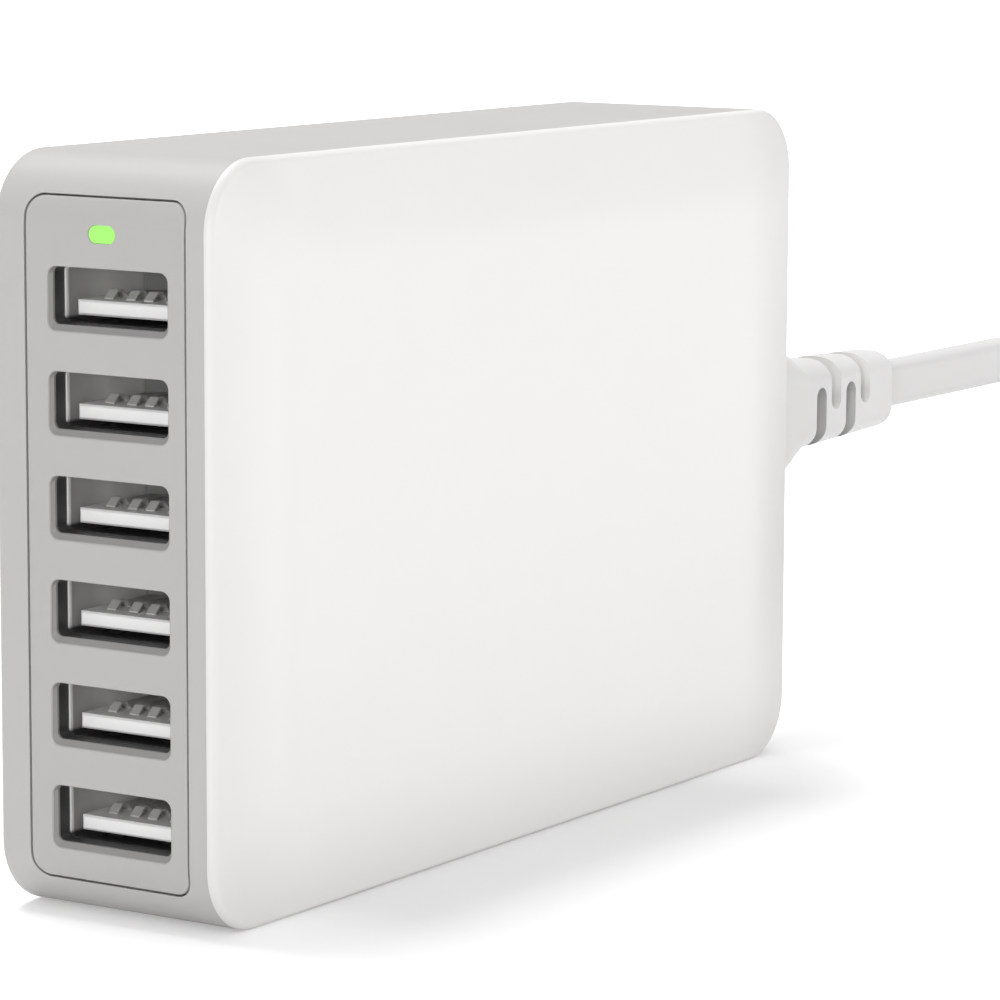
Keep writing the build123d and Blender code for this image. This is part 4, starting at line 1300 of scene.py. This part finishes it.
@dataclass
class Lead:
    """The flat mains lead, from the connector to its tied hank and its plug."""

    width: float = 5.4 * MM
    thickness: float = 3.4 * MM
    corner: float = 1.25 * MM
    corner_steps: int = 5
    fold: float = 16.2 * MM
    lane_pitch: float = 3.6 * MM
    layer_pitch: float = 5.5 * MM
    first_layer: float = 3.5 * MM
    run: float = 54.0 * MM
    level: float = 35.0 * MM
    start: float = 89.1 * MM
    exit: float = 93.4 * MM
    straight_end: float = 123.35 * MM
    route: Stops = ((129.85, 35.0), (164.05, 25.6), (191.05, 20.0), (206.85, 20.0))
    hank_near: float = 161.85 * MM
    tail: tuple[float, ...] = (149.35, 136.35)
    run_shares: tuple[float, ...] = (0.1, 0.3, 0.5, 0.7, 0.9)
    fold_points: int = 6
    fold_share: float = 0.99
    order: int = 3
    curve_steps: int = 6
    smooth_angle: float = 50.0
    turns: list[Pass] = field(default_factory=list)

    def lay_turns(self) -> None:
        """Sets the order of the hank's legs: down through the inner lane, then up the outer one."""
        far, east, near, west = Leg.FAR, Leg.EAST, Leg.NEAR, Leg.WEST
        self.turns.append(Pass(far, (0, 1), (3, 2), (0.0, 0.5), (0.5, 1.0)))
        self.turns += [Pass(east, (1, 1), (2, 2)), Pass(near, (1, 1), (2, 2))]
        self.turns.append(Pass(west, (1, 0), (2, 2), (0.65, 0.95)))
        for layer in (2, 1, 0):
            self.turns += [Pass(leg, (0, 0), (layer, layer)) for leg in (far, east, near)]
            if layer:
                self.turns.append(Pass(west, (0, 0), (layer, layer - 1), layer_window=(0.3, 0.6)))
        self.turns.append(Pass(west, (0, 1), (0, 0), (0.0, 0.3)))
        self.turns += [Pass(far, (1, 1), (0, 0)), Pass(east, (1, 1), (0, 0)), Pass(near, (1, 1), (0, 1))]
        self.turns += [Pass(leg, (1, 1), (1, 1)) for leg in (west, far, east)]

    def leg_points(self, leg: Pass) -> list[Vector]:
        """Places one leg's control points.

        Args:
            leg: The leg, its lanes and its layers.

        Returns:
            Its points, in metres.
        """
        if leg.leg in (Leg.WEST, Leg.EAST):
            shares = list(self.run_shares)
        else:
            shares = [(step + 0.5) / self.fold_points for step in range(self.fold_points)]
        points = []
        for share in shares:
            lane = self.ramp(share, leg.lane_window, leg.lanes)
            layer = self.ramp(share, leg.layer_window, leg.layers)
            radius = self.fold + lane * self.lane_pitch
            points.append(self.place(leg.leg, share, radius, self.first_layer + layer * self.layer_pitch))
        return points

    @staticmethod
    def ramp(share: float, window: tuple[float, float], ends: tuple[int, int]) -> float:
        """Goes from one end value to the other inside a window, and holds still outside it."""
        inside = min(max((share - window[0]) / (window[1] - window[0]), 0.0), 1.0)
        return ends[0] + (ends[1] - ends[0]) * inside

    def place(self, leg: Leg, share: float, radius: float, z: float) -> Vector:
        """Finds a point on one leg of a turn.

        Args:
            leg: The leg.
            share: How far along it, from 0 to 1.
            radius: The lane's distance from the hank's middle line.
            z: The layer's height.

        Returns:
            The point, in metres.
        """
        middle = self.fold
        far = self.hank_near + self.run
        if leg is Leg.WEST:
            return Vector((middle - radius, self.hank_near + share * self.run, z))
        if leg is Leg.EAST:
            return Vector((middle + radius, far - share * self.run, z))
        bow = radius * self.fold_share / math.cos(math.pi / (2 * self.fold_points))
        across, out = bow * math.cos(math.pi * share), bow * math.sin(math.pi * share)
        if leg is Leg.FAR:
            return Vector((middle - across, far + out, z))
        return Vector((middle + across, self.hank_near - out, z))

    def points(self) -> list[Vector]:
        """Lists the whole lead's control points, from inside the strain relief to the plug.

        Returns:
            The points, in metres.
        """
        self.lay_turns()
        points = [Vector((0, self.start, self.level)), Vector((0, self.straight_end, self.level))]
        points += [Vector((0, y * MM, z * MM)) for y, z in self.route]
        for leg in self.turns:
            points += self.leg_points(leg)
        outer = 2 * self.fold + self.lane_pitch
        second = self.first_layer + self.layer_pitch
        points += [Vector((outer, y * MM, second)) for y in self.tail]
        return points

    def spline(self) -> bpy.types.Object:
        """Draws the lead's smooth centre line.

        Returns:
            The curve.
        """
        points = self.points()
        curve = bpy.data.curves.new("mains_lead", "CURVE")
        curve.dimensions = "3D"
        curve.twist_mode = "Z_UP"
        line = curve.splines.new("NURBS")
        line.points.add(len(points) - 1)
        for spot, point in zip(line.points, points):
            spot.co = (*point, 1)
        line.order_u = self.order
        line.use_endpoint_u = True
        line.resolution_u = self.curve_steps
        piece = bpy.data.objects.new("mains_lead", curve)
        bpy.context.scene.collection.objects.link(piece)
        return piece

    def section(self) -> bpy.types.Object:
        """Draws the flat sheath's section: a rounded rectangle standing on its edge.

        Returns:
            The section's curve.
        """
        half = Vector((self.thickness / 2, self.width / 2))
        low, high = Vector((-half.x, -half.y, -MM)), Vector((half.x, half.y, 0))
        bench = Bench.rounded_block("sheath_section", low, high, Along.Z, self.corner, self.corner_steps)
        bench.pick_faces(lambda face: face.normal.z < FACING)
        bpy.ops.mesh.delete(type="FACE")
        bench.pick_faces(lambda face: True)
        bpy.ops.mesh.delete(type="ONLY_FACE")
        bench.rest()
        bpy.ops.object.convert(target="CURVE")
        return bpy.context.object

    def build(self, finishes: "Finishes", pieces: list[bpy.types.Object]) -> None:
        """Args:
            finishes: The finishes.
            pieces: The pieces on the lead; not used.
        """
        centre = self.spline()
        line = bpy.data.meshes.new_from_object(centre)
        section = self.section()
        centre.data.bevel_mode = "OBJECT"
        centre.data.bevel_object = section
        centre.data.use_fill_caps = True
        Bench.clear()
        centre.select_set(True)
        bpy.context.view_layer.objects.active = centre
        bpy.ops.object.convert(target="MESH")
        bench = Bench(bpy.context.object)
        bpy.data.objects.remove(section)
        bench.turn_outwards()
        bench.smooth(self.smooth_angle)
        bench.dress(finishes.sheath)
        piece = settle(bench, "white_sheath", "cord_run", "cord_hank", "cord_tail")


@dataclass
class Plug:
    """The wall plug and the tie round the hank."""

    corner: float = 4.0 * MM
    corner_steps: int = 8
    face: float = 9.0 * MM
    grip: float = 15.0 * MM
    grip_width: float = 11.0 * MM
    grip_height: float = 13.5 * MM
    tip_width: float = 5.6 * MM
    tip_height: float = 7.6 * MM
    face_round: float = 1.2 * MM
    break_round: float = 2.5 * MM
    break_steps: int = 5
    rib_depth: float = 0.35 * MM
    lead_in: float = 0.4
    taper_start: float = 0.55
    ribs: int = 4
    tie_wall: float = 0.8 * MM
    tie_edge: float = 0.24 * MM
    tie_edge_steps: int = 3
    tie_corner: float = 1.6 * MM
    tie_steps: int = 6
    tie_fold: float = math.radians(60)
    smooth_angle: float = 40.0
    BACKWARD: ClassVar[Vector] = Vector((0, 1, 0))

    def plug(self) -> Bench:
        """Models the plug: face, waisted grip and ribbed relief.

        Returns:
            The plug.
        """
        low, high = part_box("wall_plug")
        centre = (low + high) / 2
        front = Vector((low.x, low.y + self.face_round, low.z))
        back = Vector((high.x, low.y + self.face, high.z))
        bench = Bench.rounded_block("plug_moulding", front, back, Along.Y, self.corner, self.corner_steps)
        bench.round_end(-self.BACKWARD, self.face_round, self.break_steps)
        width, height = high.x - low.x, high.z - low.z
        bench.pick_end(self.BACKWARD)
        bench.extrude(Vector((0, self.grip, 0)))
        bench.resize(Vector((self.grip_width / width, 1, self.grip_height / height)), centre)
        self.relief(bench, centre, high.y - low.y - self.face - self.grip)
        waist = low.y + self.face
        for y in (waist, waist + self.grip):
            bench.pick_ring(y)
            bench.bevel(self.break_round, self.break_steps)
        return bench

    def relief(self, bench: Bench, centre: Vector, length: float) -> None:
        """Adds the plug's tapered relief, with its ribs.

        Args:
            bench: The plug so far, its grip's end selected.
            centre: The plug's middle.
            length: The relief's length.
        """
        width, height = self.grip_width, self.grip_height
        lead_in = length * self.lead_in
        step = (length - lead_in) / (2 * self.ribs)
        for part in range(2 * self.ribs + 1):
            share = self.taper_start + (1 - self.taper_start) * part / (2 * self.ribs)
            sunk = self.rib_depth * (part % 2)
            new_width = self.grip_width + (self.tip_width - self.grip_width) * share - 2 * sunk
            new_height = self.grip_height + (self.tip_height - self.grip_height) * share - 2 * sunk
            bench.extrude(Vector((0, lead_in if part == 0 else step, 0)))
            bench.resize(Vector((new_width / width, 1, new_height / height)), centre)
            width, height = new_width, new_height

    def tie(self) -> Bench:
        """Models the strap round the hank's side.

        Returns:
            The strap.
        """
        low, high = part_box("cord_tie")
        bench = Bench.rounded_block("hank_tie", low, high, Along.Y, self.tie_corner, self.tie_steps)
        bench.open_ends(Along.Y)
        bench.thicken(self.tie_wall)
        bench.pick_edges(lambda edge: edge.calc_face_angle(0) > self.tie_fold)
        bench.bevel(self.tie_edge, self.tie_edge_steps)
        return bench

    def build(self, finishes: "Finishes") -> list[bpy.types.Object]:
        """Models and dresses the plug and the tie.

        Args:
            finishes: The finishes.

        Returns:
            The two pieces.
        """
        plug = self.plug()
        plug.smooth(self.smooth_angle)
        plug.dress(finishes.moulding)
        tie = self.tie()
        tie.smooth(self.smooth_angle)
        tie.dress(finishes.strap)
        return [settle(plug, "white_moulding", "wall_plug"), settle(tie, "white_tie", "cord_tie")]


class Finishes:
    """Every finish of the charger, made once."""

    def __init__(self) -> None:
        """Builds the materials of the new pieces and of the CAD nodes."""
        # The cover's colour falls off by 12 % towards its outline: painted shade on the pillow's edges.
        cover = Plastic("cover_white", (0.845, 0.835, 0.825), 0.42, 0.004, 0.5, 0.002, painted_edge_shade=0.12)
        self.cover = cover.material()
        self.band = Plastic("band_grey", (0.48, 0.47, 0.46), 0.5, 0.01, 0.3, 0.006).material()
        self.panel = Plastic("panel_grey", (0.45, 0.44, 0.43), 0.55, 0.01, 0.25, 0.004).material()
        self.moulding = Plastic("soft_moulding", (0.745, 0.74, 0.735), 0.5, 0.01, 0.4, 0.006).material()
        self.sheath = Plastic("lead_sheath", (0.71, 0.705, 0.70), 0.45, 0.01, 0.5, 0.004).material()
        # A darker grey for the mouths' slopes: painted shade.
        self.mouth = Plastic("mouth_painted_shade", (0.27, 0.265, 0.26), 0.6, 0.02, 0.25, 0.004).material()
        # The slots' finishes are painted: the low slots darker than the moulding as painted shade, the high
        # slots lighter as painted light, both shaded by the height over the ground.
        low_slot_shade = ((30.5, 0.65), (32.0, 0.95), (35.5, 1.0), (36.5, 0.8), (37.2, 0.55))
        high_slot_shade = ((34.2, 0.62), (35.2, 0.8), (37.0, 0.95), (39.0, 1.0))
        self.shaded_low_slot = GrooveWithPaintedShade("slot_painted_shade", (0.62, 0.62, 0.61), low_slot_shade).material()
        self.lightened_high_slot = GrooveWithPaintedShade("slot_painted_light_and_shade", (0.90, 0.895, 0.885), high_slot_shade).material()
        self.strap = Strap("tie_weave", (0.78, 0.78, 0.77)).material()
        resin = Plastic("black_moulding", (0.03, 0.03, 0.032), 0.5, 0.2).material()
        sleeve = Plastic("can_sleeve", (0.03, 0.032, 0.05), 0.3, 0.2, coat=0.3).material()
        board = Board("solder_mask", (0.02, 0.16, 0.06)).material()
        dark_board = Board("dark_mask", (0.025, 0.025, 0.027)).material()
        plated = Metal("plated_brass", (0.75, 0.74, 0.72), 0.22).material()
        light = Lamp("lit_window", (0.36, 1.0, 0.15), 0.95).material()
        self.nodes = {
            "led_lens": light,
            "status_led": light,
            "port_board": dark_board,
            "main_board": board,
            "insulating_sheet": Plastic("insulating_film", (0.75, 0.74, 0.68), 0.3, 0.03).material(),
            "film_capacitor": Plastic("capacitor_box", (0.75, 0.52, 0.06), 0.35, 0.05).material(),
            "input_choke": Wound("copper_turns", (0.72, 0.33, 0.15), 0.9, "DIAGONAL", 0.3, 1.0).material(),
            "bridge_rectifier": resin,
            "fuse": Plastic("fuse_tube", (0.72, 0.73, 0.72), 0.12, 0.05, coat=0.6).material(),
            "bulk_capacitors": sleeve,
            "heat_sink": Metal("rolled_aluminium", (0.74, 0.75, 0.76), 0.38, Along.Z).material(),
            "switch_transistor": resin,
            "transformer_core": Plastic("ferrite", (0.05, 0.05, 0.052), 0.6, 0.3, 0.6, 0.02).material(),
            "transformer_winding": Wound("winding_tape", (0.82, 0.60, 0.08), 3.0, "X").material(),
            "y_capacitor": Plastic("dipped_resin", (0.06, 0.18, 0.5), 0.25, 0.1, coat=0.4).material(),
            "optocoupler": Plastic("white_resin", (0.72, 0.72, 0.70), 0.5, 0.03).material(),
            "output_capacitors": sleeve,
            "link_header": resin,
            # The black frame's collars line the port holes' walls: a dark part put there as painted shade.
            "port_frame": resin,
            "charge_chips": resin,
            "inlet_housing": resin,
            "inlet_pins": plated,
            "connector_sleeves": plated,
            "wall_plug_blades": plated,
        }
        # Painted shade in the ports: shell, tongue and contacts darken with the depth behind the case's front,
        # and the shell also darkens close over each port's floor as a painted shadow.
        shell_depth_shade = ((2.2, 1.0), (2.45, 1.0), (2.6, 0.42), (5.5, 0.65), (8.0, 1.0), (13.0, 1.0))
        shell = RecessWithPaintedShade("shell_steel", (0.93, 0.915, 0.90), shell_depth_shade, 0.35, 0.25, 0.75).material()
        tip = ((2.9, 1.0), (3.0, 1.0))
        tongue_top_shade = ((3.1, 0.9), (6.0, 0.75), (9.0, 0.5), (11.5, 0.3), (13.0, 0.25))
        tongue = RecessWithPaintedShade("tongue_white", (0.95, 0.95, 0.94), tip + tongue_top_shade).material()
        contact_depth_shade = ((4.8, 0.75), (6.5, 0.7), (11.0, 0.4))
        contact = RecessWithPaintedShade("contact_plating", (0.92, 0.91, 0.89), contact_depth_shade, 0.35, 0.5).material()
        for index in PORTS:
            self.nodes[f"usb_shell_{index}"] = shell
            self.nodes[f"usb_tongue_{index}"] = tongue
            self.nodes[f"usb_contacts_{index}"] = contact

    def dress_nodes(self) -> None:
        """Gives every CAD node that stays its finish."""
        for name, material in self.nodes.items():
            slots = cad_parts[name].material_slots
            for slot in slots:
                slot.material = material
            LOG.info("%s: %s", name, material.name)


@dataclass(frozen=True)
class SoftLight:
    """A square soft box: where it stands, its side in metres and its power in watts."""

    name: str
    place: tuple[float, float, float]
    size: float
    power: float


@dataclass
class Studio:
    """Camera, lights, floor and world."""

    azimuth: float = 32.749
    elevation: float = 8.373
    roll: float = 0.249
    focal: float = 4.430455
    sensor: float = 36.0
    place: tuple[float, float, float] = (242.3, -363.55, 97.2)
    ambient: float = 0.3
    from_above: float = 0.24
    floor_size: float = 12.0
    floor_tone: float = 0.9
    floor_roughness: float = 0.9
    # Less glow close to the case's box: a painted shadow on the floor.
    painted_shadow_glow: Stops = ((0, 0.11), (10, 0.24), (25, 0.35))
    far_glow: Stops = ((100, 0.38), (350, 0.8), (500, 1.0))
    # The box of the floor's painted shadow, set off towards the right-hand side.
    shadow_low: tuple[float, float, float] = (-0.013, -0.033, -1.0)
    shadow_high: tuple[float, float, float] = (0.022, 0.03, 1.0)
    aim: tuple[float, float, float] = (0.0, 0.0, 0.035)
    lights: tuple[SoftLight, ...] = (
        SoftLight("over", (-0.35, 0.08, 1.0), 0.5, 6.8),
        SoftLight("side", (1.1, 0.45, 0.1), 0.6, 5.7),
        SoftLight("front", (0.35, -1.15, 0.22), 0.35, 6.0),
    )

    def camera(self) -> None:
        """Sets the camera at the photograph's place; focal is its length in image widths."""
        turn, lift, roll = (math.radians(a) for a in (self.azimuth, self.elevation, self.roll))
        ahead = Vector((-math.sin(turn) * math.cos(lift), math.cos(turn) * math.cos(lift), -math.sin(lift)))
        right = Vector((math.cos(turn), math.sin(turn), 0))
        up = right.cross(ahead)
        right, up = (
            right * math.cos(roll) + up * math.sin(roll),
            up * math.cos(roll) - right * math.sin(roll),
        )
        data = bpy.data.cameras.new("camera")
        data.sensor_width = self.sensor
        data.lens = self.focal * self.sensor
        data.clip_start = 0.01
        camera = bpy.data.objects.new("camera", data)
        bpy.context.scene.collection.objects.link(camera)
        pose = Matrix((right, up, -ahead)).transposed().to_4x4()
        pose.translation = Vector(self.place) * MM
        camera.matrix_world = pose
        bpy.context.scene.camera = camera

    def lamp(self, light: SoftLight) -> None:
        """Adds a square soft light aimed at the case.

        Args:
            light: Its name, place, side and power.
        """
        data = bpy.data.lights.new(light.name, "AREA")
        data.size = light.size
        data.energy = light.power
        lamp = bpy.data.objects.new(light.name, data)
        bpy.context.scene.collection.objects.link(lamp)
        lamp.location = light.place
        aim = Vector(self.aim) - lamp.location
        lamp.rotation_euler = aim.to_track_quat("-Z", "Y").to_euler()

    def world(self) -> None:
        """Lights everything from a soft dome, brightest above, and shows white behind it."""
        world = bpy.data.worlds.new("studio")
        bpy.context.scene.world = world
        world.use_nodes = True
        tree = Tree(world.node_tree)
        level = tree.add("ShaderNodeMix", {"Factor": tree.seen(), "A": self.dome(tree), "B": 1.0})
        background = world.node_tree.nodes["Background"]
        tree.feed(background, {"Color": WHITE, "Strength": level.outputs["Result"]})

    def dome(self, tree: Tree) -> Socket:
        """Adds the dome's light, which grows towards the top.

        Args:
            tree: The world's nodes.

        Returns:
            The light's socket.
        """
        place = tree.add("ShaderNodeTexCoord").outputs["Generated"]
        height = tree.add("ShaderNodeSeparateXYZ", {"Vector": place}).outputs["Z"]
        upper = tree.maths("MAXIMUM", height, 0.0)
        return tree.maths("MULTIPLY_ADD", upper, self.from_above, self.ambient)

    def floor(self) -> None:
        """Lays a white floor that keeps the object's soft shadow and shines white further off; its glow is
        lower in a box beside the case, a painted shadow that deepens the shadow there.
        """
        Bench.clear()
        bpy.ops.mesh.primitive_plane_add(size=self.floor_size)
        floor = bpy.context.object
        floor.name = "floor"
        nodes = Nodes("floor_white")
        low, high = Vector(self.shadow_low), Vector(self.shadow_high)
        away = nodes.box_distance((low + high) / 2, (high - low) / 2)
        glow = nodes.fade(away, 0.0, (1, 1, 1), self.painted_shadow_glow + self.far_glow)
        nodes.shade({"Base Color": (*[self.floor_tone] * 3, 1), "Roughness": self.floor_roughness})
        nodes.shade({"Specular IOR Level": 0.0, "Emission Color": WHITE})
        nodes.shade({"Emission Strength": nodes.maths("MULTIPLY", nodes.seen(), glow)})
        floor.data.materials.append(nodes.material)

    def build(self) -> None:
        """Sets the whole studio up."""
        self.camera()
        self.world()
        self.floor()
        for light in self.lights:
            self.lamp(light)
        bpy.context.scene.view_settings.view_transform = "Standard"


def main() -> None:
    """Builds the studio, the finishes and every piece."""
    logging.basicConfig(level=logging.INFO, format="%(name)s: %(message)s")
    Studio().build()
    finishes = Finishes()
    finishes.dress_nodes()
    on_lead = Plug().build(finishes)
    on_lead.append(Connector().build(finishes))
    on_lead.append(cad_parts["wall_plug_blades"])
    Lead().build(finishes, on_lead)
    Case().build(finishes)


if __name__ == "__main__":
    main()
